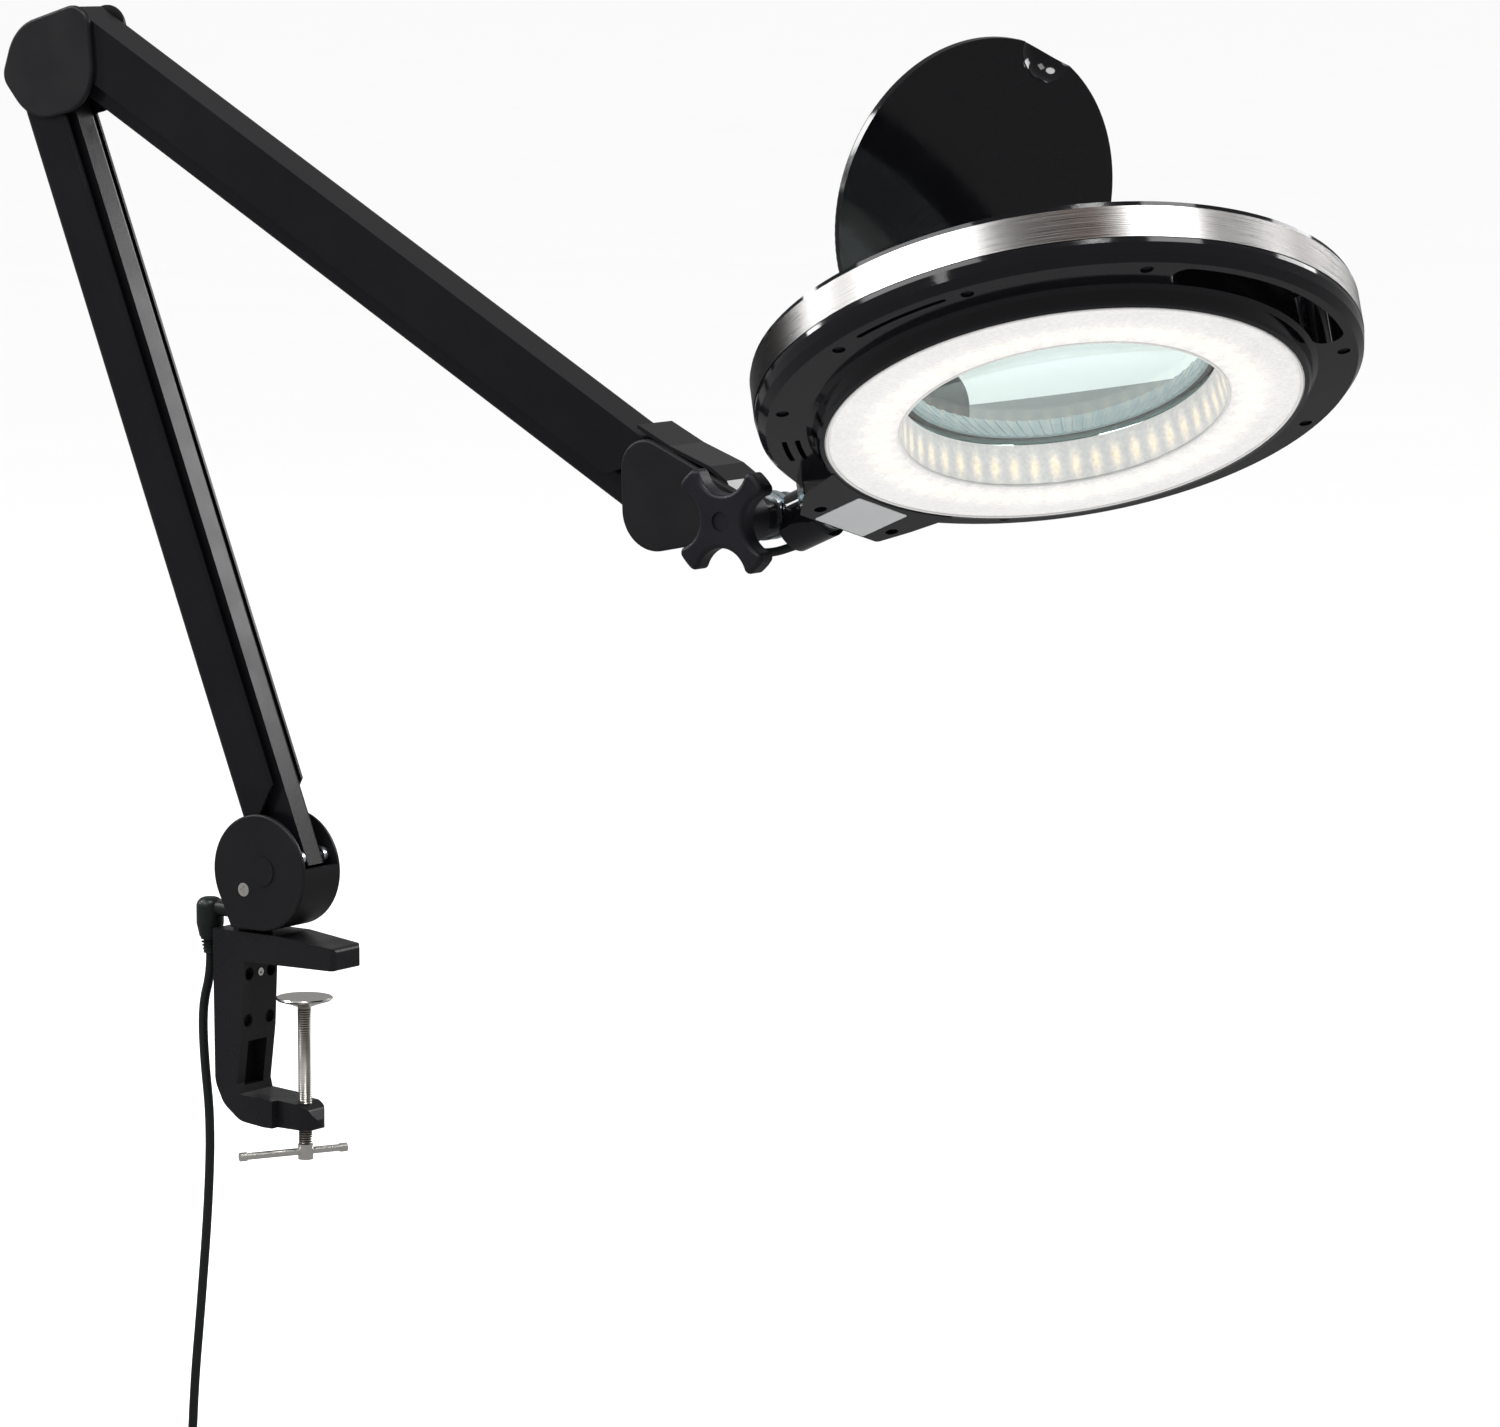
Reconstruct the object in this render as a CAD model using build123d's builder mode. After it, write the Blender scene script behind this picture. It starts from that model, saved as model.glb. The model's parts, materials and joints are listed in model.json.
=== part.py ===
from build123d import *
from math import atan2, cos, pi, radians, sin, sqrt, tan
import os

# Clamp-on magnifying lamp, in millimetres. +Z is up, +X is forward, arms lie in the plane y = 0.
# The origin is on the underside of the clamp's upper jaw, below the middle of the base housing.

os.makedirs("parts", exist_ok=True)

# ---- driving dimensions -------------------------------------------------------------------------
JAW_TOP = 12.3
JAW_REACH = 38.0
SPINE_BACK = -26.4
SPINE_FRONT = -9.5
CLAMP_HALF_WIDTH = 11.0
SCREW_X = 14.0
SWIVEL_X = -13.5

HOUSING_R = 24.5
HOUSING_HALF = 12.2
CHEEK_INSIDE = 10.4
HOUSING_Z = JAW_TOP + 1.5 + HOUSING_R

LOWER_LEAN = 21.7
LOWER_LENGTH = 353.0
LINK_SPACING = 15.8
UPPER_DROP = 29.2
UPPER_LENGTH = 343.0

OUTER_HALF = 10.0
OUTER_BACK = 4.6
LOWER_DEPTH = 17.4
UPPER_DEPTH = 18.0
INNER_HALF = 5.5
INNER_WEB = 3.5
INNER_OPEN = 8.5
SHEET = 1.2

PIN_R = 2.0
RUNNING_R = 2.05
OPEN_R = 2.3

HEAD_RISE = 23.9
HEAD_ROLL = 19.3
HEAD_REACH = 142.0
HEAD_LIFT = 7.8
NECK_DROP = 6.0
HEAD_R = 116.0
LENS_R = 62.8

LID_R = 66.2
LID_HINGE = 77.5
LID_HINGE_Z = 19.2
LID_TURN = -8.5
LID_OPEN = 52.5

CORD_R = 2.0
FLOOR_Z = -255.0

# ---- directions and pivots ----------------------------------------------------------------------
UP = Vector(0, 0, 1)
SIDE = Vector(0, 1, 0)
lower_up = Vector(-sin(radians(LOWER_LEAN)), 0, cos(radians(LOWER_LEAN)))
lower_front = Vector(cos(radians(LOWER_LEAN)), 0, sin(radians(LOWER_LEAN)))
upper_along = Vector(cos(radians(UPPER_DROP)), 0, -sin(radians(UPPER_DROP)))
upper_top = Vector(sin(radians(UPPER_DROP)), 0, cos(radians(UPPER_DROP)))

base_rear = Vector(2.3, 0, HOUSING_Z + 0.9)
base_front = base_rear + lower_front * LINK_SPACING
elbow_rear = base_rear + lower_up * LOWER_LENGTH
elbow_front = base_front + lower_up * LOWER_LENGTH
elbow_top = elbow_rear + Vector(31.8, 0, 22.2)
elbow_low = elbow_top + Vector(-4.3, 0, -24.1)
nose_top = elbow_top + upper_along * UPPER_LENGTH
nose_low = elbow_low + upper_along * UPPER_LENGTH
tilt = nose_top + Vector(49.0, 0, -20.4)

head_axis = Vector(cos(radians(HEAD_RISE)), 0, sin(radians(HEAD_RISE)))
neck_up = Vector(-sin(radians(HEAD_RISE)), 0, cos(radians(HEAD_RISE)))
head_up = neck_up * cos(radians(HEAD_ROLL)) + SIDE * sin(radians(HEAD_ROLL))
head_side = SIDE * cos(radians(HEAD_ROLL)) - neck_up * sin(radians(HEAD_ROLL))
neck = tilt + SIDE * 7.0 - neck_up * NECK_DROP
head = tilt + SIDE * 7.0 + head_axis * HEAD_REACH + head_up * HEAD_LIFT

lid_inward = head_axis * cos(radians(LID_TURN)) + head_side * sin(radians(LID_TURN))
lid_line = head_side * cos(radians(LID_TURN)) - head_axis * sin(radians(LID_TURN))
lid_hinge_point = head - lid_inward * LID_HINGE + head_up * LID_HINGE_Z
lid_along = lid_inward * cos(radians(LID_OPEN)) + head_up * sin(radians(LID_OPEN))
lid_normal = head_up * cos(radians(LID_OPEN)) - lid_inward * sin(radians(LID_OPEN))


# ---- helpers ------------------------------------------------------------------------------------
def side_plane(y):
    """A plane at y whose sketch axes are the lamp's X and Z; extruding goes towards -Y."""
    return Plane(origin=(0, y, 0), x_dir=(1, 0, 0), z_dir=(0, -1, 0))


def head_plane(height):
    """A plane parallel to the lens; sketch X points from the neck to the handle."""
    return Plane(origin=head + head_up * height, x_dir=head_axis, z_dir=head_up)


def plate(points, y_low, y_high, mode=Mode.ADD):
    """A flat plate with a polygon outline in X and Z."""
    with BuildSketch(side_plane(y_high)) as outline:
        with BuildLine():
            Polyline(*points, close=True)
        make_face()
    extrude(outline.sketch, amount=y_high - y_low, mode=mode)


def hull_plate(circles, y_low, y_high, mode=Mode.ADD):
    """A flat plate whose outline is stretched around circles given as (x, z, radius)."""
    with BuildSketch(side_plane(y_high)) as outline:
        for x, z, radius in circles:
            with Locations((x, z)):
                Circle(radius)
        make_hull()
    extrude(outline.sketch, amount=y_high - y_low, mode=mode)


def rod(start, end, radius, mode=Mode.ADD):
    """A round bar between two points."""
    direction = Vector(end) - Vector(start)
    with BuildSketch(Plane(origin=start, z_dir=direction)) as disc:
        Circle(radius)
    extrude(disc.sketch, amount=direction.length, mode=mode)


def cross_rod(centre, y_low, y_high, radius, mode=Mode.ADD):
    """A round bar along Y through a pivot."""
    rod(Vector(centre.X, y_low, centre.Z), Vector(centre.X, y_high, centre.Z), radius, mode)


def spun(points, mode=Mode.ADD):
    """A ring about the lens axis from a polygon of (radius, height) points."""
    with BuildSketch(Plane(origin=head, x_dir=head_axis, z_dir=head_side * -1)) as section:
        with BuildLine():
            Polyline(*points, close=True)
        make_face()
    revolve(section.sketch, axis=Axis(head, head_up), mode=mode)


def save(builder, name):
    """Label a finished sub-part and write its file."""
    builder.part.label = name
    export_step(builder.part, "parts/" + name + ".step")


def at(pivot, along, across, e, d):
    """The X and Z of a point e along and d across an arm, counted from one of its pivots."""
    point = pivot + along * e + across * d
    return (point.X, point.Z)


def channel(start, along, length, half, web, open_side, inner_web, over):
    """A straight folded channel; web and open_side are its two faces in the sketch's Y."""
    section_plane = Plane(origin=start - along * over, x_dir=SIDE, z_dir=along)
    height = abs(web - open_side)
    with BuildSketch(section_plane) as section:
        with Locations((0, (web + open_side) / 2)):
            Rectangle(2 * half, height)
        fold = section.vertices().group_by(Axis((0, 0, 0), section_plane.y_dir))
        fillet(fold[-1] if web > open_side else fold[0], 3.0 if half > 8 else 1.8)
    extrude(section.sketch, amount=length + 2 * over)
    with BuildSketch(section_plane) as hollow:
        reach = open_side - (2 if web > open_side else -2)
        with Locations((0, (inner_web + reach) / 2)):
            Rectangle(2 * (half - SHEET), abs(inner_web - reach))
    extrude(hollow.sketch, amount=length + 2 * over, mode=Mode.SUBTRACT)


# ---- clamp --------------------------------------------------------------------------------------
with BuildPart() as clamp_bracket:
    with BuildSketch(side_plane(CLAMP_HALF_WIDTH)) as frame_outline:
        with BuildLine():
            Polyline(
                (SPINE_BACK, JAW_TOP), (8, JAW_TOP), (JAW_REACH, 9.3), (JAW_REACH, 0), (SPINE_FRONT, 0),
                (-11, -30), (-14, -53), (-13, -57), (15, -58.8), (20, -61), (22.3, -66), (22.3, -69.7),
                (0, -69.7), (-12.5, -68.4), (-21.4, -62), (-26, -53), close=True,
            )
        make_face()
        for x, z, corner_radius in (
            (-12.5, -68.4, 10), (-21.4, -62, 10), (-26, -53, 12), (20, -61, 2), (22.3, -66, 3),
            (22.3, -69.7, 1.4), (JAW_REACH, 9.3, 2.5), (JAW_REACH, 0, 1.2),
        ):
            corners = frame_outline.vertices().sort_by_distance((x, z, 0))
            fillet(corners[0], corner_radius)
    extrude(frame_outline.sketch, amount=2 * CLAMP_HALF_WIDTH)
    # the jaw narrows towards its tip, and the lower arm ends in a round boss
    with BuildSketch(Plane.XY.offset(-75)) as plan:
        with BuildLine():
            Polyline(
                (SPINE_BACK, -11), (8, -11), (36, -9.4), (JAW_REACH, -7.5), (JAW_REACH, 7.5), (36, 9.4),
                (8, 11), (SPINE_BACK, 11), close=True,
            )
        make_face()
    extrude(plan.sketch, amount=90, mode=Mode.INTERSECT)
    with BuildSketch(Plane.XY.offset(-71)) as lower_plan:
        with Locations((25, 0)):
            Rectangle(40, 40)
        with Locations((SCREW_X + 1, 0)):
            Circle(7.3, mode=Mode.SUBTRACT)
        with Locations((4, 0)):
            Rectangle(22, 14.6, mode=Mode.SUBTRACT)
    extrude(lower_plan.sketch, amount=14, mode=Mode.SUBTRACT)
    # pocket and two rows of blind holes in the front of the spine
    with BuildSketch(Plane(origin=(-5, 0, -44.5), x_dir=(0, 1, 0), z_dir=(-1, 0, 0))) as pocket:
        Rectangle(12, 19)
    extrude(pocket.sketch, amount=14.5, mode=Mode.SUBTRACT)
    for height in (-6, -26):
        for y in (-7, 7):
            rod((-5, y, height), (-13.2, y, height), 2.75, Mode.SUBTRACT)
    # swivel bore, web screw hole and the tapped hole of the clamp screw
    rod((SWIVEL_X, 0, -11.8), (SWIVEL_X, 0, 20), 2.55, Mode.SUBTRACT)
    rod((-5, 0, -6), (-10.7, 0, -6), 1.7, Mode.SUBTRACT)
    rod((SCREW_X, 0, -80), (SCREW_X, 0, -50), 3.05, Mode.SUBTRACT)
save(clamp_bracket, "clamp_bracket")

with BuildPart() as clamp_web_screw:
    rod((-9.4, 0, -6), (-10.6, 0, -6), 1.7)
    rod((-9.3, 0, -6), (-9.9, 0, -6), 0.8, Mode.SUBTRACT)
save(clamp_web_screw, "clamp_web_screw")

BAR_TURN = 62.0
bar_dir = Vector(cos(radians(BAR_TURN)), sin(radians(BAR_TURN)), 0)
bar_centre = Vector(SCREW_X, 0, -79.8)
THREAD_PITCH = 1.0
with BuildPart() as clamp_screw:
    with BuildSketch(Plane.XZ) as screw_section:
        with BuildLine():
            thread = []
            for turn in range(58):
                thread.append((SCREW_X + 3.0, -19.0 - turn * THREAD_PITCH))
                thread.append((SCREW_X + 2.6, -19.5 - turn * THREAD_PITCH))
            Polyline(
                (SCREW_X, -15.4), (SCREW_X + 2.0, -15.4), (SCREW_X + 2.0, -18.4), (SCREW_X + 2.6, -18.8),
                *thread, (SCREW_X + 3.2, -76.8), (SCREW_X + 3.2, -83.2), (SCREW_X, -83.2), close=True,
            )
        make_face()
    revolve(screw_section.sketch, axis=Axis((SCREW_X, 0, 0), (0, 0, 1)))
    rod(bar_centre - bar_dir * 6, bar_centre + bar_dir * 6, 1.55, Mode.SUBTRACT)
save(clamp_screw, "clamp_screw")

with BuildPart() as clamp_pad:
    with BuildSketch(Plane.XZ) as pad_section:
        with BuildLine():
            Polyline(
                (SCREW_X, -14.2), (SCREW_X + 11.6, -14.2), (SCREW_X + 12.15, -14.7),
                (SCREW_X + 11.2, -15.6), (SCREW_X + 6.0, -17.2), (SCREW_X + 3.6, -18.2),
                (SCREW_X + 2.05, -18.2), (SCREW_X + 2.05, -15.3), (SCREW_X, -15.3), close=True,
            )
        make_face()
    revolve(pad_section.sketch, axis=Axis((SCREW_X, 0, 0), (0, 0, 1)))
save(clamp_pad, "clamp_pad")

with BuildPart() as tommy_bar:
    rod(bar_centre - bar_dir * 29.5, bar_centre + bar_dir * 18.5, 1.5)
    for end in (-29.5, 15.5):
        rod(bar_centre + bar_dir * end, bar_centre + bar_dir * (end + 3.0), 1.9)
save(tommy_bar, "tommy_bar")

# ---- swivelling base housing --------------------------------------------------------------------
with BuildPart() as swivel_pin:
    rod((SWIVEL_X, 0, -11.6), (SWIVEL_X, 0, JAW_TOP + 1.0), 2.5)
    rod((SWIVEL_X, 0, JAW_TOP + 0.05), (SWIVEL_X, 0, JAW_TOP + 1.5), 8.2)
    rod((SWIVEL_X, 0, JAW_TOP + 1.4), (SWIVEL_X, 0, JAW_TOP + 2.9), 2.5)
save(swivel_pin, "swivel_pin")

housing_screw_at = Vector(-8.4, 0, HOUSING_Z - 7.8)


def housing_shell(near):
    """One half of the base housing, split at y = 0."""
    inner, outer = (0, -HOUSING_HALF) if near else (0, HOUSING_HALF)
    low, high = min(inner, outer), max(inner, outer)
    cheek = -CHEEK_INSIDE if near else CHEEK_INSIDE
    z0 = HOUSING_Z
    with BuildSketch(side_plane(high)) as outline:
        with BuildLine():
            Line((0, z0 - 24.5), (-15.5, z0 - 24.5))
            Line((-15.5, z0 - 24.5), (-22.13, z0 - 10.51))
            ThreePointArc((-22.13, z0 - 10.51), (-21.22, z0 + 12.25), (0, z0 + 24.5))
            ThreePointArc((0, z0 + 24.5), (24.5, z0), (0, z0 - 24.5))
        make_face()
    extrude(outline.sketch, amount=high - low)
    rim = faces().filter_by(Axis.Y).sort_by(Axis.Y)[0 if near else -1]
    fillet(rim.edges(), 1.0)
    with BuildSketch(side_plane(max(cheek, 0))) as cavity:
        with BuildLine():
            Polyline((14.4, z0 - 17), (-16.7, z0 - 17), (-20.1, z0 - 9.65))
            ThreePointArc((-20.1, z0 - 9.65), (-19.3, z0 + 11.15), (0, z0 + 22.3))
            ThreePointArc((0, z0 + 22.3), (21.5, z0 + 5.9), (14.4, z0 - 17))
        make_face()
        with Locations((0, z0 + 17.2)):
            Rectangle(60, 28)
    extrude(cavity.sketch, amount=CHEEK_INSIDE, mode=Mode.SUBTRACT)
    # screw boss, front pin boss and the raised ring over the rear pivot
    cross_rod(housing_screw_at, min(0, cheek), max(0, cheek), 4.0)
    front_boss = sorted((cheek, cheek / CHEEK_INSIDE * 8.4))
    cross_rod(base_front, front_boss[0], front_boss[1], 3.2)
    if near:
        cross_rod(base_rear, -HOUSING_HALF - 0.5, -HOUSING_HALF, 6.0)
        cross_rod(housing_screw_at, -HOUSING_HALF - 1, -HOUSING_HALF + 1.4, 3.2, Mode.SUBTRACT)
    else:
        cross_rod(base_rear, HOUSING_HALF, HOUSING_HALF + 0.5, 6.0)
    cross_rod(housing_screw_at, -11.0, 7.0, 1.5, Mode.SUBTRACT)
    rod((SWIVEL_X, 0, 10), (SWIVEL_X, 0, JAW_TOP + 2.9), 2.5, Mode.SUBTRACT)
    rod((-24, 0, 18.8), (-9, 0, 18.8), 3.2, Mode.SUBTRACT)


with BuildPart() as base_shell_near:
    housing_shell(True)
save(base_shell_near, "base_shell_near")

with BuildPart() as base_shell_far:
    housing_shell(False)
save(base_shell_far, "base_shell_far")

with BuildPart() as base_screw:
    cross_rod(housing_screw_at, -10.8, 7.0, 1.5)
    cross_rod(housing_screw_at, -12.0, -10.8, 2.9)
    for size in ((3.2, 0.8), (0.8, 3.2)):
        with BuildSketch(side_plane(-11.3)) as slot_outline:
            with Locations((housing_screw_at.X, housing_screw_at.Z)):
                Rectangle(*size)
        extrude(slot_outline.sketch, amount=1.0, mode=Mode.SUBTRACT)
save(base_screw, "base_screw")

with BuildPart() as base_pins:
    cross_rod(base_rear, -CHEEK_INSIDE, CHEEK_INSIDE, PIN_R)
    cross_rod(base_front, -6.0, 6.0, PIN_R)
    for y_low, y_high in ((-8.4, -6.0), (6.0, 8.4)):
        cross_rod(base_front, y_low, y_high, 3.7)
save(base_pins, "base_pins")

with BuildPart() as power_jack:
    rod((-17.5, 0, 18.8), (-9.0, 0, 18.8), 3.2)
    rod((-17.6, 0, 18.8), (-10.4, 0, 18.8), 2.8, Mode.SUBTRACT)
save(power_jack, "power_jack")

PLUG_X = -37.2
with BuildPart() as power_plug:
    rod((-11.0, 0, 18.8), (-17.6, 0, 18.8), 2.75)
    rod((-17.6, 0, 18.8), (PLUG_X, 0, 18.8), 3.2)
    with BuildSketch(Plane.XZ) as plug_section:
        with BuildLine():
            Polyline((PLUG_X, 23.2), (PLUG_X, 6.5), (PLUG_X + 4.6, 6.5), (PLUG_X + 5.8, 12.0))
            Polyline((PLUG_X + 5.8, 12.0), (PLUG_X + 5.8, 19.2))
            ThreePointArc((PLUG_X + 5.8, 19.2), (PLUG_X + 4.63, 22.03), (PLUG_X + 1.8, 23.2))
            Line((PLUG_X + 1.8, 23.2), (PLUG_X, 23.2))
        make_face()
    revolve(plug_section.sketch, axis=Axis((PLUG_X, 0, 0), (0, 0, 1)))
save(power_plug, "power_plug")

with BuildPart() as plug_relief:
    with BuildSketch(Plane.XZ) as relief_section:
        with BuildLine():
            ribs = [(PLUG_X, 6.5), (PLUG_X + 4.2, 6.5)]
            for step in range(4):
                top = 5.4 - 1.5 * step
                ribs += [(PLUG_X + 4.1 - 0.3 * step, top), (PLUG_X + 2.9, top - 0.3)]
                ribs += [(PLUG_X + 2.9, top - 0.9), (PLUG_X + 3.9 - 0.3 * step, top - 1.2)]
            Polyline(*ribs, (PLUG_X + 2.9, -0.6), (PLUG_X, -0.6), close=True)
        make_face()
    revolve(relief_section.sketch, axis=Axis((PLUG_X, 0, 0), (0, 0, 1)))
save(plug_relief, "plug_relief")

# ---- power lead ---------------------------------------------------------------------------------
lead_points = [
    (PLUG_X, 0, -0.6), (PLUG_X, 0, -9.4), (-42.0, 0, -23.5), (-41.6, 0, -45.0), (-38.2, 0, -73.0),
    (-40.0, 0, -108.0), (-44.6, 0, -151.0), (-49.4, 0, -190.0), (-51.2, 0, -221.0), (-58.0, -6.0, -240.0),
    (-66.0, -16.0, -247.5),
]


def corner_radii(points):
    """The bend radius at each inner point, from the shorter run beside it and its turn."""
    radii = []
    for before, here, after in zip(points, points[1:], points[2:]):
        first = Vector(here) - Vector(before)
        second = Vector(after) - Vector(here)
        half_turn = radians(first.get_angle(second)) / 2
        radii.append(0.45 * min(first.length, second.length) / tan(half_turn))
    return radii


lead_radii = corner_radii(lead_points)
print("power lead radii", [round(radius, 1) for radius in lead_radii])
with BuildPart() as power_cord:
    with BuildLine() as lead_path:
        FilletPolyline(*lead_points, radius=lead_radii)
    with BuildSketch(Plane(origin=lead_points[0], z_dir=Vector(lead_points[1]) - Vector(lead_points[0]))):
        Circle(CORD_R)
    sweep(path=lead_path.wire())
print("power lead route", round(lead_path.wire().length, 1), "volume ratio",
      round(power_cord.part.volume / (pi * CORD_R ** 2 * lead_path.wire().length), 4))
save(power_cord, "power_cord")

coil_centre = Vector(-66.0, -42.0, FLOOR_Z)
COIL_R = 23.0
with BuildPart() as cord_coil:
    with BuildSketch(Plane(origin=coil_centre, x_dir=(1, 0, 0), z_dir=(0, -1, 0))) as coil_section:
        with Locations((COIL_R, 8.5)):
            RectangleRounded(14, 17, 4)
    revolve(coil_section.sketch, axis=Axis(coil_centre, (0, 0, 1)))
save(cord_coil, "cord_coil")

ADAPTER_X = coil_centre.X - COIL_R
ADAPTER_Y = coil_centre.Y - 38.0
with BuildPart() as power_adapter:
    with BuildSketch(Plane.XY.offset(FLOOR_Z)) as block_plan:
        with Locations((ADAPTER_X, ADAPTER_Y - 35.0)):
            RectangleRounded(46, 70, 5)
    extrude(block_plan.sketch, amount=28)
    fillet(faces().sort_by(Axis.Z)[-1].edges(), 2.0)
    rod((ADAPTER_X, ADAPTER_Y + 14, FLOOR_Z + 6.5), (ADAPTER_X, ADAPTER_Y - 1, FLOOR_Z + 6.5), 3.2)
    for x in (-6.35, 6.35):
        with BuildSketch(Plane.XZ.offset(-(ADAPTER_Y - 70.0))) as prong:
            with Locations((ADAPTER_X + x, FLOOR_Z + 14)):
                Rectangle(1.5, 6.3)
        extrude(prong.sketch, amount=17)
save(power_adapter, "power_adapter")

INNER_END_R = 4.0


def round_end(pivot, outward, across, radius):
    """Trims the end of an inner channel to an arc about its pivot."""
    arc = [(radius * cos(radians(a)), radius * sin(radians(a))) for a in range(-90, 91, 15)]
    corner = [(0, 12), (9, 12), (9, -12), (0, -12)]
    plate([at(pivot, outward, across, e, d) for e, d in arc + corner], -15, 15, Mode.SUBTRACT)


# ---- lower arm ----------------------------------------------------------------------------------
with BuildPart() as lower_back_channel:
    channel(
        base_rear, lower_up, LOWER_LENGTH, OUTER_HALF, OUTER_BACK, -LOWER_DEPTH, OUTER_BACK - SHEET, 7.0,
    )
    low_cut = ((-9, 4.6), (22, 4.6), (34, 18.4), (-9, 18.4))
    high_cut = ((9, 4.6), (-1, 4.6), (-14, 18.4), (9, 18.4))
    plate([at(base_rear, lower_up, lower_front, e, d) for e, d in low_cut], -15, 15, Mode.SUBTRACT)
    plate([at(elbow_rear, lower_up, lower_front, e, d) for e, d in high_cut], -15, 15, Mode.SUBTRACT)
    cross_rod(base_rear, -15, 15, RUNNING_R, Mode.SUBTRACT)
    cross_rod(elbow_rear, -15, 15, RUNNING_R, Mode.SUBTRACT)
save(lower_back_channel, "lower_back_channel")

with BuildPart() as lower_front_channel:
    channel(
        base_front, lower_up, LOWER_LENGTH, INNER_HALF, -INNER_WEB, INNER_OPEN, -INNER_WEB + SHEET, 4.0,
    )
    low_cut = ((-6, -4.0), (5, -4.0), (15, -9.5), (-6, -9.5))
    high_cut = ((6, -4.0), (-9, -4.0), (-22, -9.5), (6, -9.5))
    plate([at(base_front, lower_up, lower_front, e, d) for e, d in low_cut], -15, 15, Mode.SUBTRACT)
    plate([at(elbow_front, lower_up, lower_front, e, d) for e, d in high_cut], -15, 15, Mode.SUBTRACT)
    cross_rod(base_front, -15, 15, RUNNING_R, Mode.SUBTRACT)
    cross_rod(elbow_front, -15, 15, OPEN_R, Mode.SUBTRACT)
    round_end(elbow_front, lower_up, lower_front, INNER_END_R)
save(lower_front_channel, "lower_front_channel")


def ribbed_spring(start, end, coils, mean_radius, wire_radius):
    """A close-wound counterbalance spring as a ribbed tube."""
    direction = Vector(end) - Vector(start)
    pitch = direction.length / coils
    outer = []
    for turn in range(coils):
        outer.append((mean_radius + wire_radius, pitch * (turn + 0.3)))
        outer.append((mean_radius + wire_radius, pitch * (turn + 0.7)))
        outer.append((mean_radius + 0.2 * wire_radius, pitch * (turn + 1.0)))
    bottom = (mean_radius - wire_radius, 0.0)
    top = (mean_radius - wire_radius, direction.length)
    section_plane = Plane(origin=start, x_dir=SIDE, z_dir=direction.cross(SIDE))
    flip = 1 if section_plane.y_dir.dot(direction) > 0 else -1
    with BuildSketch(section_plane) as section:
        with BuildLine():
            points = [bottom, (mean_radius + 0.2 * wire_radius, 0.0)] + outer + [top]
            Polyline(*[(r, flip * h) for r, h in points], close=True)
        make_face()
    revolve(section.sketch, axis=Axis(start, direction))


with BuildPart() as lower_spring:
    ribbed_spring(base_rear + lower_up * 60 - lower_front * 0.0, base_rear + lower_up * 250, 48, 2.2, 0.6)
save(lower_spring, "lower_spring")

# ---- elbow --------------------------------------------------------------------------------------
elbow_pivots = (elbow_rear, elbow_front, elbow_top, elbow_low)
post_at = Vector(elbow_rear.X + 12.3, 0, elbow_rear.Z + 16.8)
with BuildPart() as elbow_bracket:
    for y_low, y_high in ((-8.2, -6.2), (6.2, 8.2)):
        hull_plate([(p.X, p.Z, 3.1) for p in elbow_pivots] + [(post_at.X, post_at.Z, 3.1)], y_low, y_high)
    cross_rod(post_at, -CHEEK_INSIDE + 0.1, CHEEK_INSIDE - 0.1, 3.0)
    for pivot in elbow_pivots:
        cross_rod(pivot, -9, 9, PIN_R, Mode.SUBTRACT)
save(elbow_bracket, "elbow_bracket")

with BuildPart() as elbow_pins:
    for pivot in elbow_pivots:
        cross_rod(pivot, -10.3, 10.3, PIN_R)
save(elbow_pins, "elbow_pins")

COVER_X = -113.5
COVER_Z = 370.0
COVER_R = 21.0
elbow_outline = (
    (elbow_rear.X, elbow_rear.Z, 8.0),
    (elbow_top.X - 0.9, elbow_top.Z - 3.1, 9.8),
    (COVER_X, COVER_Z, COVER_R),
    (-105.5, COVER_Z, 19.3),
)


def elbow_cover(near):
    """A flat cover with a rounded edge and half of the short wall along its top."""
    low, high = (-12.3, -10.3) if near else (10.3, 12.3)
    hull_plate(elbow_outline, low, high)
    rim = faces().filter_by(Axis.Y).sort_by(Axis.Y)[0 if near else -1]
    fillet(rim.edges(), 1.2)
    with BuildSketch(side_plane(0.0 if near else 10.3)) as wall:
        with BuildLine():
            ends = []
            for radius in (COVER_R - 0.4, COVER_R - 1.9):
                points = [(COVER_X + radius * cos(radians(a)), COVER_Z + radius * sin(radians(a)))
                          for a in (108, 130, 152)]
                ThreePointArc(*points)
                ends.append(points)
            Line(ends[0][0], ends[1][0])
            Line(ends[0][2], ends[1][2])
        make_face()
    extrude(wall.sketch, amount=10.3)


with BuildPart() as elbow_cover_near:
    elbow_cover(True)
save(elbow_cover_near, "elbow_cover_near")

with BuildPart() as elbow_cover_far:
    elbow_cover(False)
save(elbow_cover_far, "elbow_cover_far")

# ---- upper arm ----------------------------------------------------------------------------------
with BuildPart() as upper_top_channel:
    channel(
        elbow_top, upper_along, UPPER_LENGTH, OUTER_HALF, OUTER_BACK, -UPPER_DEPTH, OUTER_BACK - SHEET, 4.4,
    )
    low_cut = ((-9, -4.6), (4, -4.6), (18, -19.0), (-9, -19.0))
    high_cut = ((9, -4.6), (-4, -4.6), (-18, -19.0), (9, -19.0))
    plate([at(elbow_top, upper_along, upper_top, e, d) for e, d in low_cut], -15, 15, Mode.SUBTRACT)
    plate([at(nose_top, upper_along, upper_top, e, d) for e, d in high_cut], -15, 15, Mode.SUBTRACT)
    cross_rod(elbow_top, -15, 15, RUNNING_R, Mode.SUBTRACT)
    cross_rod(nose_top, -15, 15, RUNNING_R, Mode.SUBTRACT)
save(upper_top_channel, "upper_top_channel")

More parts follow.
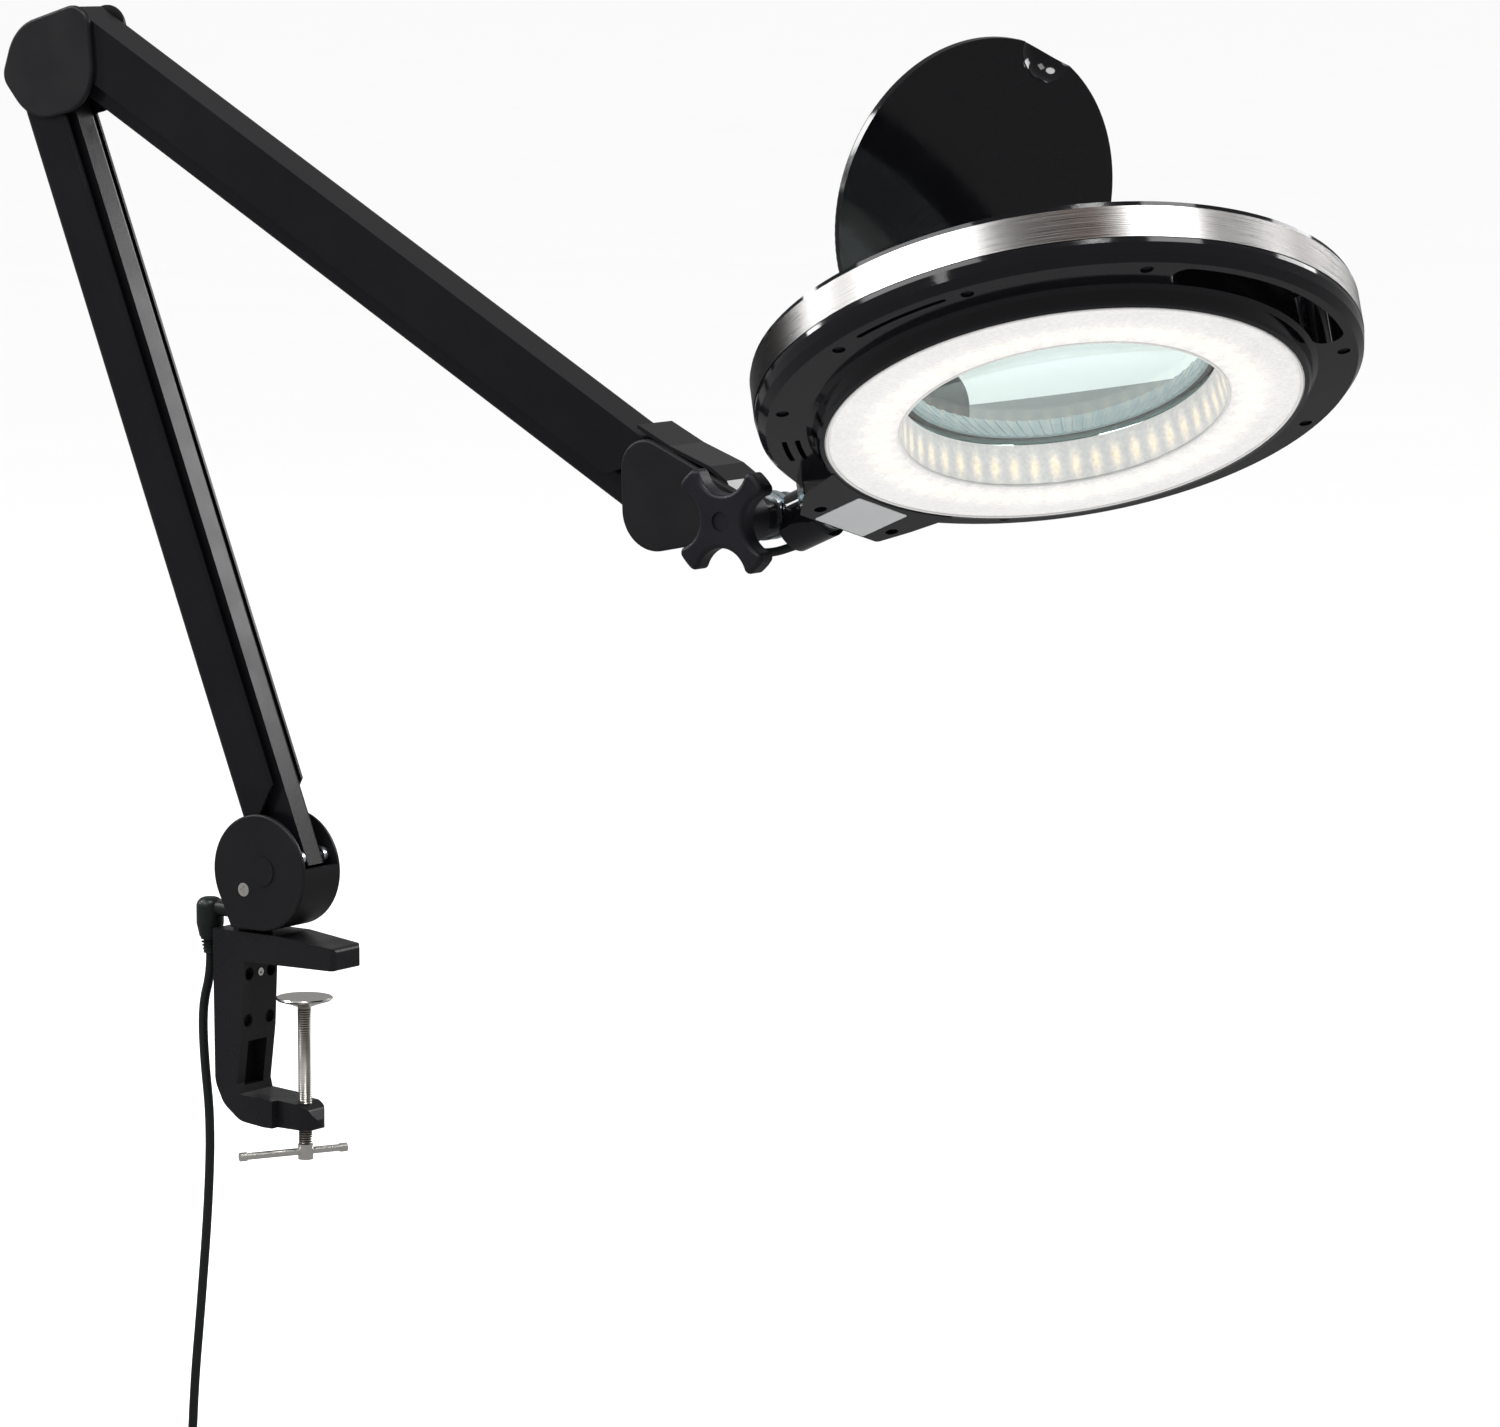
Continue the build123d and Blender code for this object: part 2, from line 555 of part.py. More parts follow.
with BuildPart() as upper_bottom_channel:
    channel(
        elbow_low, upper_along, UPPER_LENGTH, INNER_HALF, -INNER_WEB, INNER_OPEN, -INNER_WEB + SHEET, 3.6,
    )
    low_cut = ((-6, 3.8), (5, 3.8), (15, 9.5), (-6, 9.5))
    high_cut = ((6, 3.8), (-5, 3.8), (-15, 9.5), (6, 9.5))
    plate([at(elbow_low, upper_along, upper_top, e, d) for e, d in low_cut], -15, 15, Mode.SUBTRACT)
    plate([at(nose_low, upper_along, upper_top, e, d) for e, d in high_cut], -15, 15, Mode.SUBTRACT)
    cross_rod(elbow_low, -15, 15, RUNNING_R, Mode.SUBTRACT)
    cross_rod(nose_low, -15, 15, OPEN_R, Mode.SUBTRACT)
    round_end(elbow_low, -upper_along, upper_top, INNER_END_R)
save(upper_bottom_channel, "upper_bottom_channel")

with BuildPart() as upper_spring:
    ribbed_spring(elbow_top + upper_along * 60, elbow_top + upper_along * 250, 48, 2.2, 0.6)
save(upper_spring, "upper_spring")

# ---- nose ---------------------------------------------------------------------------------------
LUG_R = 10.0
LUG_FACE = -4.2
KNOB_Y = -24.5
with BuildPart() as nose_bracket:
    for y_low, y_high in ((-8.2, -6.2), (6.2, 8.2)):
        pivots = [(nose_top.X, nose_top.Z, 3.1), (nose_low.X, nose_low.Z, 3.3)]
        hull_plate(pivots + [(224, 205, 3.5), (222, 197, 5)], y_low, y_high)
    hull_plate([(219, 211, 4), (218, 196, 5), (tilt.X - 18, tilt.Z + 1, 8)], -10.2, 10.2)
    hull_plate([(tilt.X - 20, tilt.Z - 1, 6.5), (tilt.X, tilt.Z, 8.5)], -10.2, LUG_FACE)
    cross_rod(tilt, -12.0, LUG_FACE, 8.5)
    for pivot in (nose_top, nose_low):
        cross_rod(pivot, -9, 9, PIN_R, Mode.SUBTRACT)
    cross_rod(tilt, -13, 13, 3.0, Mode.SUBTRACT)
    cross_rod(tilt, LUG_FACE, 13, 11.6, Mode.SUBTRACT)
save(nose_bracket, "nose_bracket")

with BuildPart() as nose_pins:
    for pivot in (nose_top, nose_low):
        cross_rod(pivot, -10.3, 10.3, PIN_R)
save(nose_pins, "nose_pins")

nose_outline = ((201, 217.5, 12), (205.5, 201.5, 16), (242.5, 209.5, 3), (229, 194, 4))
tunnel = (
    (196.3, 235.0), (212, 227.4), (231.4, 220.4), (239.6, 215.2), (242.4, 210.4), (240.9, 209.8),
    (238.4, 214.0), (230.6, 219.0), (211.4, 226.0), (195.9, 233.6),
)

with BuildPart() as nose_cover_near:
    hull_plate(nose_outline, -12.3, -10.3)
    nose_rim = faces().filter_by(Axis.Y).sort_by(Axis.Y)[0]
    fillet(nose_rim.edges(), 1.2)
    cross_rod(tilt, -13, -10, LUG_R + 0.4, Mode.SUBTRACT)
save(nose_cover_near, "nose_cover_near")

with BuildPart() as nose_cover_far:
    hull_plate(nose_outline, 10.3, 12.3)
    nose_rim = faces().filter_by(Axis.Y).sort_by(Axis.Y)[-1]
    fillet(nose_rim.edges(), 1.2)
    plate(tunnel, -10.3, 12.3)
    cross_rod(tilt, 10, 13, 11.6, Mode.SUBTRACT)
save(nose_cover_far, "nose_cover_far")

with BuildPart() as tilt_washers:
    for y, radius in ((-4.2, 9.6), (-2.6, 9.6), (-1.0, 7.4), (0.6, 9.6), (2.2, 9.6), (3.8, 8.2)):
        cross_rod(tilt, y, y + 1.5, radius)
    cross_rod(tilt, 9.7, 12.0, 8.4)
    cross_rod(tilt, -5, 13, 3.0, Mode.SUBTRACT)
save(tilt_washers, "tilt_washers")

with BuildPart() as tilt_bolt:
    cross_rod(tilt, KNOB_Y - 4.5, 12.0, 3.0)
    cross_rod(tilt, 12.0, 14.0, 5.0)
    cross_rod(tilt, 12.8, 14.5, 2.6, Mode.SUBTRACT)
save(tilt_bolt, "tilt_bolt")

with BuildPart() as tilt_knob:
    with BuildSketch(side_plane(KNOB_Y)) as star:
        with Locations((tilt.X, tilt.Z)):
            Circle(24)
            with PolarLocations(22, 4):
                Circle(11.6, mode=Mode.SUBTRACT)
        fillet(star.vertices(), 2.5)
    extrude(star.sketch, amount=7.5)
    fillet(faces().filter_by(Axis.Y).sort_by(Axis.Y)[0].edges(), 1.8)
    cross_rod(tilt, KNOB_Y, -12.6, LUG_R)
    cross_rod(tilt, KNOB_Y - 4.7, -12, 3.05, Mode.SUBTRACT)
    cross_rod(tilt, KNOB_Y - 8.5, KNOB_Y - 6.7, 4.0, Mode.SUBTRACT)
save(tilt_knob, "tilt_knob")

# ---- yoke and neck ------------------------------------------------------------------------------
COLLAR_R = 11.5
with BuildPart() as yoke:
    collar_root = tilt + head_axis * 13 - neck_up * NECK_DROP
    hull_plate([(tilt.X, tilt.Z, 8.0), (collar_root.X, collar_root.Z, 7.5)], 5.6, 9.6)
    rod(neck + head_axis * 5, neck + head_axis * 22, COLLAR_R)
    cross_rod(tilt, -20, 5.6, 10.1, Mode.SUBTRACT)
    cross_rod(tilt, 9.6, 25, 10.1, Mode.SUBTRACT)
    rod(neck + head_axis * 12.5, neck + head_axis * 23, 4.05, Mode.SUBTRACT)
    cross_rod(tilt, 0, 15, 3.05, Mode.SUBTRACT)
save(yoke, "yoke")

with BuildPart() as neck_bolt:
    rod(neck + head_axis * 13, neck + head_axis * 36, 4.0)
save(neck_bolt, "neck_bolt")

with BuildPart() as neck_washers:
    rod(neck + head_axis * 22.2, neck + head_axis * 23.3, 9.4)
    rod(neck + head_axis * 23.5, neck + head_axis * 24.6, 9.4)
    rod(neck + head_axis * 22, neck + head_axis * 25, 4.0, Mode.SUBTRACT)
save(neck_washers, "neck_washers")

cable_points = [
    (tilt.X - 15, 0, tilt.Z - 6.6), (tilt.X - 12, 0.5, tilt.Z - 11), (tilt.X - 7, 2, tilt.Z - 15.3),
    (tilt.X - 0.5, 4, tilt.Z - 15), (tilt.X + 5.2, 5.6, tilt.Z - 13.2), (tilt.X + 10.1, 6.4, tilt.Z - 11.3),
]
cable_radii = corner_radii(cable_points)
print("head cable radii", [round(radius, 1) for radius in cable_radii])
with BuildPart() as head_cable:
    with BuildLine() as cable_path:
        FilletPolyline(*cable_points, radius=cable_radii)
    cable_start = Vector(cable_points[1]) - Vector(cable_points[0])
    with BuildSketch(Plane(origin=cable_points[0], z_dir=cable_start)):
        Circle(1.75)
    sweep(path=cable_path.wire())
print("head cable route", round(cable_path.wire().length, 1))
save(head_cable, "head_cable")

# ---- head shells --------------------------------------------------------------------------------
HANDLE_R = 103.0
HANDLE_WIDTH = 12.0
HANDLE_START = -25.0
HANDLE_SWEEP = 49.0
SCREW_CIRCLE = 107.0
NECK_SCREW_CIRCLE = 110.5
screw_spots = [(SCREW_CIRCLE, angle) for angle in (-131, -101.5, -70, -34.5, 33, 67, 141)]
screw_spots += [(NECK_SCREW_CIRCLE, angle) for angle in (166.7, -172.2)]


def on_circle(radius, angle):
    """A point of a circle about the lens axis, in the head plane."""
    return (radius * cos(radians(angle)), radius * sin(radians(angle)))


def curved_slot(radius, start, sweep_angle, width, low, high, mode=Mode.SUBTRACT):
    """A slot with round ends that follows a circle about the lens axis."""
    inside = radius - width / 2
    outside = radius + width / 2
    middle = start + sweep_angle / 2
    end = start + sweep_angle
    cap = degrees_of(width / 2, radius)
    with BuildSketch(head_plane(low)) as slot_plan:
        with BuildLine():
            ThreePointArc(on_circle(inside, start), on_circle(inside, middle), on_circle(inside, end))
            ThreePointArc(on_circle(inside, end), on_circle(radius, end + cap), on_circle(outside, end))
            ThreePointArc(on_circle(outside, end), on_circle(outside, middle), on_circle(outside, start))
            ThreePointArc(
                on_circle(outside, start), on_circle(radius, start - cap), on_circle(inside, start),
            )
        make_face()
    extrude(slot_plan.sketch, amount=high - low, mode=mode)


def degrees_of(length, radius):
    """The angle that a short length takes up on a circle."""
    return length / radius * 180 / pi


def handle_slot(low, high, width, mode):
    """A curved finger slot between the lens and the rim, on the handle side."""
    curved_slot(HANDLE_R, HANDLE_START, HANDLE_SWEEP, width, low, high, mode)


with BuildPart() as head_top_shell:
    spun([
        (115.4, 6.2), (115.4, 8.2), (110.5, 10.6), (91, 13.4), (89.5, 16.4), (66.2, 16.4), (66.2, 3.2),
        (68.4, 3.2), (68.4, 14.2), (87.9, 14.2), (89.4, 11.4), (109, 8.4), (112, 6.2),
    ])
    handle_slot(0, 20, HANDLE_WIDTH, Mode.SUBTRACT)
save(head_top_shell, "head_top_shell")

with BuildPart() as steel_band:
    spun([(114.6, -6.2), (114.6, 6.2), (116.0, 6.2), (116.0, -6.2)])
save(steel_band, "steel_band")

NECK_FACE = -(HEAD_REACH - 24.6)
RIM_FACE = -22.4
with BuildPart() as head_bottom_shell:
    spun([
        (114.6, 6.2), (114.6, -6.2), (115.7, -6.4), (115.7, -8.2), (115.0, -12.0), (112.4, -15.0),
        (97.0, -15.6), (95.0, -17.0), (93.8, -21.0), (92.8, -22.0), (91.0, RIM_FACE), (91.0, -4.4),
        (66.2, -4.4), (66.2, -2.8), (92.8, -2.8), (92.8, -13.8), (111.6, -13.2), (113.1, -11.4),
        (113.6, -8.0), (112.4, -6.0), (112.4, 6.2),
    ])
    # flat neck block under the rim, with the neck bolt's bore in its outer face
    with BuildSketch(head_plane(RIM_FACE)) as neck_plan:
        with BuildLine():
            Polyline(
                (-84, -36), (-104, -31), (NECK_FACE, -18), (NECK_FACE, 28), (-104, 32), (-84, 36),
                close=True,
            )
        make_face()
        fillet(neck_plan.vertices(), 2.0)
        Circle(92.0, mode=Mode.SUBTRACT)
    extrude(neck_plan.sketch, amount=-6.8 - RIM_FACE)
    # screw bosses and their recesses
    with BuildSketch(head_plane(-14.6)) as boss_plan:
        for radius, angle in screw_spots:
            with PolarLocations(radius, 1, start_angle=angle):
                Circle(3.3)
    extrude(boss_plan.sketch, amount=19.6)
    with BuildSketch(head_plane(-24.0)) as recess_plan:
        for radius, angle in screw_spots:
            with PolarLocations(radius, 1, start_angle=angle):
                Circle(2.5)
    extrude(recess_plan.sketch, amount=11.4, mode=Mode.SUBTRACT)
    with BuildSketch(head_plane(-24.0)) as tap_plan:
        for radius, angle in screw_spots:
            with PolarLocations(radius, 1, start_angle=angle):
                Circle(1.1)
    extrude(tap_plan.sketch, amount=19.0, mode=Mode.SUBTRACT)
    # finger slot with its own wall, a wider recess around it, and small vents
    handle_slot(-15.0, 6.6, HANDLE_WIDTH + 3.2, Mode.ADD)
    handle_slot(-30, 20, HANDLE_WIDTH, Mode.SUBTRACT)
    curved_slot(107.5, -95, 20, 2.2, -24, -10)
    curved_slot(101.5, 78, 8, 2.0, -24, -12)
    curved_slot(106.0, 206, 9, 2.0, -24, -12)
    curved_slot(101.0, 206, 9, 2.0, -24, -12)
    rod(neck + head_axis * 24, neck + head_axis * 36, 4.0, Mode.SUBTRACT)
save(head_bottom_shell, "head_bottom_shell")

with BuildPart() as head_screws:
    for radius, angle in screw_spots:
        direction = head_axis * cos(radians(angle)) + head_side * sin(radians(angle))
        spot = head + direction * radius
        rod(spot - head_up * 14.2, spot - head_up * 12.6, 2.3)
        rod(spot - head_up * 12.6, spot - head_up * 6.0, 1.1)
save(head_screws, "head_screws")

# a blank rating plate on the flat neck block
with BuildPart() as rating_plate:
    with BuildSketch(head_plane(RIM_FACE - 0.25)) as plate_outline:
        with Locations((-105.1, 4.0)):
            RectangleRounded(23, 29, 1.0)
    extrude(plate_outline.sketch, amount=0.25)
save(rating_plate, "rating_plate")

# ---- lens, light ring and bezel -----------------------------------------------------------------
LENS_SAG = 3.0
LENS_THICK = 9.0
LENS_Z = -3.2
glass_r = (LENS_R ** 2 + LENS_SAG ** 2) / (2 * LENS_SAG)
with BuildPart() as lens:
    with BuildSketch(head_plane(LENS_Z - LENS_THICK / 2)) as lens_plan:
        Circle(LENS_R)
    extrude(lens_plan.sketch, amount=LENS_THICK)
    for side in (-1, 1):
        ball = Location(head_plane(LENS_Z + side * (LENS_THICK / 2 - glass_r)))
        with Locations(ball * Location((0, 0, 0), (90, 0, 0))):
            Sphere(glass_r, mode=Mode.INTERSECT)
save(lens, "lens")

with BuildPart() as lens_seal:
    spun([
        (62.1, -1.55), (62.1, -0.2), (63.6, 3.0), (66.2, 3.0), (66.2, -6.2), (62.1, -6.2), (62.1, -4.9),
        (62.85, -4.9), (62.85, -1.55),
    ])
save(lens_seal, "lens_seal")

with BuildPart() as bezel:
    spun([(66.2, 17.2), (65.4, 17.2), (57.6, 0.8), (58.6, 0.0), (66.2, 15.2)])
save(bezel, "bezel")

with BuildPart() as led_board:
    spun([(66.4, -4.4), (66.4, -6.0), (90, -6.0), (90, -4.4)])
save(led_board, "led_board")

LED_COUNT = 48
with BuildPart() as leds:
    with BuildSketch(head_plane(-6.0)) as led_plan:
        with PolarLocations(71, LED_COUNT):
            Rectangle(3.0, 3.0)
    extrude(led_plan.sketch, amount=-1.4)
save(leds, "leds")

with BuildPart() as diffuser:
    spun([
        (91.0, -19.0), (91.0, -21.6), (88.6, -22.4), (76, -23.0), (64, -22.6), (62.0, -21.2), (60.4, -5.6),
        (61.8, -5.6), (63.3, -19.8), (65.0, -20.9), (76, -21.4), (87.6, -20.9), (89.6, -20.0),
        (89.6, -19.0),
    ])
save(diffuser, "diffuser")

with BuildPart() as touch_board:
    with BuildSketch(head_plane(-2.8)) as board_plan:
        with Locations((82, 0)):
            Rectangle(14, 44)
    extrude(board_plan.sketch, amount=1.6)
save(touch_board, "touch_board")

# ---- lens lid -----------------------------------------------------------------------------------
LID_HALF = 1.8
KNUCKLE_R = 2.5
SCOOP_R = 14.6
SCOOP_DEPTH = 4.8
SCOOP_TURN = 9.0
lid_centre = lid_hinge_point + lid_along * LID_HINGE
scoop_out = lid_along * cos(radians(SCOOP_TURN)) + lid_line * sin(radians(SCOOP_TURN))
scoop_centre = lid_centre + scoop_out * LID_R - lid_normal * SCOOP_DEPTH
lid_plane = Plane(origin=lid_hinge_point - lid_normal * LID_HALF, x_dir=lid_along, z_dir=lid_normal)
with BuildPart() as lid:
    with BuildSketch(lid_plane) as lid_plan:
        with Locations((LID_HINGE, 0)):
            Circle(LID_R)
        with Locations((12, 0)):
            Rectangle(16, 54)
        with Locations((4, 0)):
            Rectangle(8, 39)
    extrude(lid_plan.sketch, amount=2 * LID_HALF)
    fillet(faces().sort_by(Axis(lid_hinge_point, lid_normal))[-1].edges(), 0.9)
    # a hollow scoop in the rim to lift the lid by
    with BuildPart(mode=Mode.PRIVATE) as scoop:
        with BuildSketch(lid_plane) as scoop_plan:
            with Locations((LID_HINGE, 0)):
                Circle(LID_R)
        extrude(scoop_plan.sketch, amount=14)
        with Locations(Location(scoop_centre)):
            Sphere(SCOOP_R, mode=Mode.INTERSECT)
    add(scoop.part)
    with Locations(Location(scoop_centre)):
        Sphere(SCOOP_R - 1.7, mode=Mode.SUBTRACT)
    rod(lid_hinge_point - lid_line * 19.5, lid_hinge_point + lid_line * 19.5, KNUCKLE_R)
    rod(lid_hinge_point - lid_line * 30, lid_hinge_point + lid_line * 30, 1.25, Mode.SUBTRACT)
save(lid, "lid")

foot_plane = Plane(origin=lid_hinge_point - head_up * (LID_HINGE_Z - 16.4), x_dir=lid_inward, z_dir=head_up)
with BuildPart() as lid_hinge:
    for y in (-23.5, 23.5):
        with BuildSketch(foot_plane) as foot:
            with Locations((-0.5, y)):
                Rectangle(6, 7)
        extrude(foot.sketch, amount=LID_HINGE_Z - 16.4)
        middle = lid_hinge_point + lid_line * y
        rod(middle - lid_line * 3.5, middle + lid_line * 3.5, KNUCKLE_R)
    rod(lid_hinge_point - lid_line * 30, lid_hinge_point + lid_line * 30, 1.2, Mode.SUBTRACT)
save(lid_hinge, "lid_hinge")

with BuildPart() as lid_pin:
    rod(lid_hinge_point - lid_line * 27, lid_hinge_point + lid_line * 27, 1.2)
save(lid_pin, "lid_pin")

for name, point in (
    ("base_rear", base_rear), ("base_front", base_front), ("elbow_rear", elbow_rear),
    ("elbow_front", elbow_front),
    ("elbow_top", elbow_top), ("elbow_low", elbow_low), ("nose_top", nose_top), ("nose_low", nose_low),
    ("tilt", tilt), ("neck", neck), ("head", head), ("head_axis", head_axis), ("head_up", head_up),
    ("head_side", head_side), ("lid_hinge_point", lid_hinge_point), ("lid_line", lid_line),
):
    print(name, [round(value, 4) for value in point])
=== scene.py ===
import json
import math

import bmesh
import bpy
from mathutils import Matrix, Vector


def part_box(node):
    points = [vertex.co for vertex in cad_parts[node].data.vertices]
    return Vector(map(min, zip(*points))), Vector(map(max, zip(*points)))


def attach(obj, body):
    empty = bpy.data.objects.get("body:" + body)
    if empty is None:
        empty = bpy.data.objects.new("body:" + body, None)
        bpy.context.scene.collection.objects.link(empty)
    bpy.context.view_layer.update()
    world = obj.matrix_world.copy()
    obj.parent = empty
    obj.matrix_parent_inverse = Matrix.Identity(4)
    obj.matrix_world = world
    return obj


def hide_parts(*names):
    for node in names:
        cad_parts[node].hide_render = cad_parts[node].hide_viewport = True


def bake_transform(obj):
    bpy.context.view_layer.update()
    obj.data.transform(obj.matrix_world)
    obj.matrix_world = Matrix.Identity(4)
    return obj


# Clamp-on magnifying lamp. Metres, +Z up, +X forward; the origin is under the clamp's upper jaw.

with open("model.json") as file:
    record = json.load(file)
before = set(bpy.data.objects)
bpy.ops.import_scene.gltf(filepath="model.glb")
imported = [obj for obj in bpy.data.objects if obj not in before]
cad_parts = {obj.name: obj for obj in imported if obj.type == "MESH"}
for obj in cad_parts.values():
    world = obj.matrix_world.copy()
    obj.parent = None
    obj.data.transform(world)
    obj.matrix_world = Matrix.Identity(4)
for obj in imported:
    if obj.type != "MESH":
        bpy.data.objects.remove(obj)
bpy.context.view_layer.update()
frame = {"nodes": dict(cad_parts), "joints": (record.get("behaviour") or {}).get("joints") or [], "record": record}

MM = 0.001
FLOOR_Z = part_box("cord_coil")[0][2]
UP = Vector((0, 0, 1))
SIDE = Vector((0, 1, 0))


def middle(node):
    """The centre of a CAD node's box."""
    low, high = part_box(node)
    return (Vector(low) + Vector(high)) / 2


def joint_point(name):
    """The pivot of a joint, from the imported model."""
    for joint in frame["joints"]:
        if joint["name"] == name:
            return Vector(joint["pos_m"])
    raise ValueError(name)


# the head's own directions: along the neck, square to the lens, and across
HEAD_RISE = math.radians(23.9)
HEAD_ROLL = math.radians(19.3)
head_axis = Vector((math.cos(HEAD_RISE), 0, math.sin(HEAD_RISE)))
neck_up = Vector((-math.sin(HEAD_RISE), 0, math.cos(HEAD_RISE)))
head_up = neck_up * math.cos(HEAD_ROLL) + SIDE * math.sin(HEAD_ROLL)
head_side = SIDE * math.cos(HEAD_ROLL) - neck_up * math.sin(HEAD_ROLL)
LENS_HEIGHT = -3.2 * MM
head = middle("lens") - head_up * LENS_HEIGHT
tilt = joint_point("head_tilt")
head_matrix = Matrix((head_axis, head_side, head_up)).transposed().to_4x4()
head_matrix.translation = head


def head_point(radius, angle, height):
    """A point round the lens axis; radius and height in mm, angle in degrees from the handle."""
    turn = math.radians(angle)
    return Vector((radius * math.cos(turn), radius * math.sin(turn), height)) * MM


# ---- camera and light ---------------------------------------------------------------------------
CAMERA_AT = Vector((1.59633, -1.88380, 0.43349))
CAMERA_LOOK = Vector((-0.57822, 0.80502, -0.13269))


def make_camera():
    data = bpy.data.cameras.new("camera")
    data.lens = 143.14
    data.sensor_width = 36
    data.clip_end = 50
    camera = bpy.data.objects.new("camera", data)
    bpy.context.scene.collection.objects.link(camera)
    camera.matrix_world = (Matrix.Translation(CAMERA_AT)
                           @ CAMERA_LOOK.to_track_quat("-Z", "Y").to_matrix().to_4x4())
    bpy.context.scene.camera = camera


def area_light(name, at, target, size, power):
    data = bpy.data.lights.new(name, "AREA")
    data.shape = "RECTANGLE"
    data.size = size[0]
    data.size_y = size[1]
    data.energy = power
    light = bpy.data.objects.new(name, data)
    bpy.context.scene.collection.objects.link(light)
    direction = Vector(target) - Vector(at)
    light.matrix_world = (Matrix.Translation(Vector(at))
                          @ direction.to_track_quat("-Z", "Y").to_matrix().to_4x4())


def make_light():
    world = bpy.data.worlds.new("studio")
    bpy.context.scene.world = world
    world.use_nodes = True
    background = world.node_tree.nodes["Background"]
    background.inputs["Color"].default_value = (1, 1, 1, 1)
    background.inputs["Strength"].default_value = 0.30
    overhead = bpy.data.lights.new("overhead", "SUN")
    overhead.energy = 2.6
    overhead.angle = math.radians(25)
    sun = bpy.data.objects.new("overhead", overhead)
    bpy.context.scene.collection.objects.link(sun)
    sun.rotation_euler = (math.radians(12), math.radians(18), 0)
    area_light("key", (-0.45, -1.40, 1.42), (0.38, 0, 0.27), (1.5, 0.9), 26)
    area_light("side", (1.68, 0.14, 1.78), (0.38, 0, 0.27), (0.6, 0.6), 8)
    area_light("rim", (-1.4, -0.5, 1.2), (0.0, 0, 0.2), (0.25, 1.5), 24)
    area_light("back", (0.9, 1.7, 1.0), (0.2, 0, 0.2), (1.6, 0.4), 20)
    bpy.context.scene.view_settings.view_transform = "Standard"


# ---- materials ----------------------------------------------------------------------------------
def blank_material(name):
    material = bpy.data.materials.new(name)
    material.use_nodes = True
    nodes = material.node_tree.nodes
    return material, nodes, material.node_tree.links, nodes["Principled BSDF"]


def noise(nodes, links, scale, detail=4.0, vector=None):
    """A noise texture in the model's own coordinates."""
    texture = nodes.new("ShaderNodeTexNoise")
    texture.inputs["Scale"].default_value = scale
    texture.inputs["Detail"].default_value = detail
    if vector is None:
        vector = nodes.new("ShaderNodeTexCoord").outputs["Object"]
    links.new(vector, texture.inputs["Vector"])
    return texture.outputs["Fac"]


def remap(nodes, links, value, low, high, from_low=0.3, from_high=0.7):
    """Stretch a 0 to 1 value over a new range."""
    node = nodes.new("ShaderNodeMapRange")
    node.inputs["From Min"].default_value = from_low
    node.inputs["From Max"].default_value = from_high
    node.inputs["To Min"].default_value = low
    node.inputs["To Max"].default_value = high
    links.new(value, node.inputs["Value"])
    return node.outputs["Result"]


def vary(nodes, links, value, first, second):
    """Mix two colours by a value."""
    node = nodes.new("ShaderNodeMix")
    node.data_type = "RGBA"
    node.inputs["A"].default_value = (*first, 1)
    node.inputs["B"].default_value = (*second, 1)
    links.new(value, node.inputs["Factor"])
    return node.outputs["Result"]


def bump(nodes, links, height, shader, distance, strength=0.5):
    node = nodes.new("ShaderNodeBump")
    node.inputs["Distance"].default_value = distance
    node.inputs["Strength"].default_value = strength
    links.new(height, node.inputs["Height"])
    links.new(node.outputs["Normal"], shader.inputs["Normal"])


def coated(name, dark, light, roughness, grain, depth, metallic, specular):
    """A painted, moulded or plated surface: uneven colour and gloss, and a fine grain."""
    material, nodes, links, shader = blank_material(name)
    cloud = noise(nodes, links, 22.0, 5.0)
    links.new(vary(nodes, links, cloud, dark, light), shader.inputs["Base Color"])
    smear = noise(nodes, links, 60.0, 6.0)
    links.new(remap(nodes, links, smear, roughness[0], roughness[1]), shader.inputs["Roughness"])
    bump(nodes, links, noise(nodes, links, grain, 3.0), shader, depth)
    shader.inputs["Metallic"].default_value = metallic
    shader.inputs["Specular IOR Level"].default_value = specular
    return material


# painted reflections on the brushed band, bright patches fixed to it: angle from the handle, half width and
# strength
PAINTED_BAND_REFLECTIONS = (
    (-150, 9, 0.5), (-102, 9, 0.34), (-77, 13, 1.0), (-31, 6, 1.0), (-14, 9, 0.34), (19, 10, 0.8),
    (55, 12, 0.3), (84, 12, 1.0), (118, 10, 0.5), (150, 12, 0.9),
)
BRUSH_FINENESS = 900.0  # how closely the brush lines lie across the band


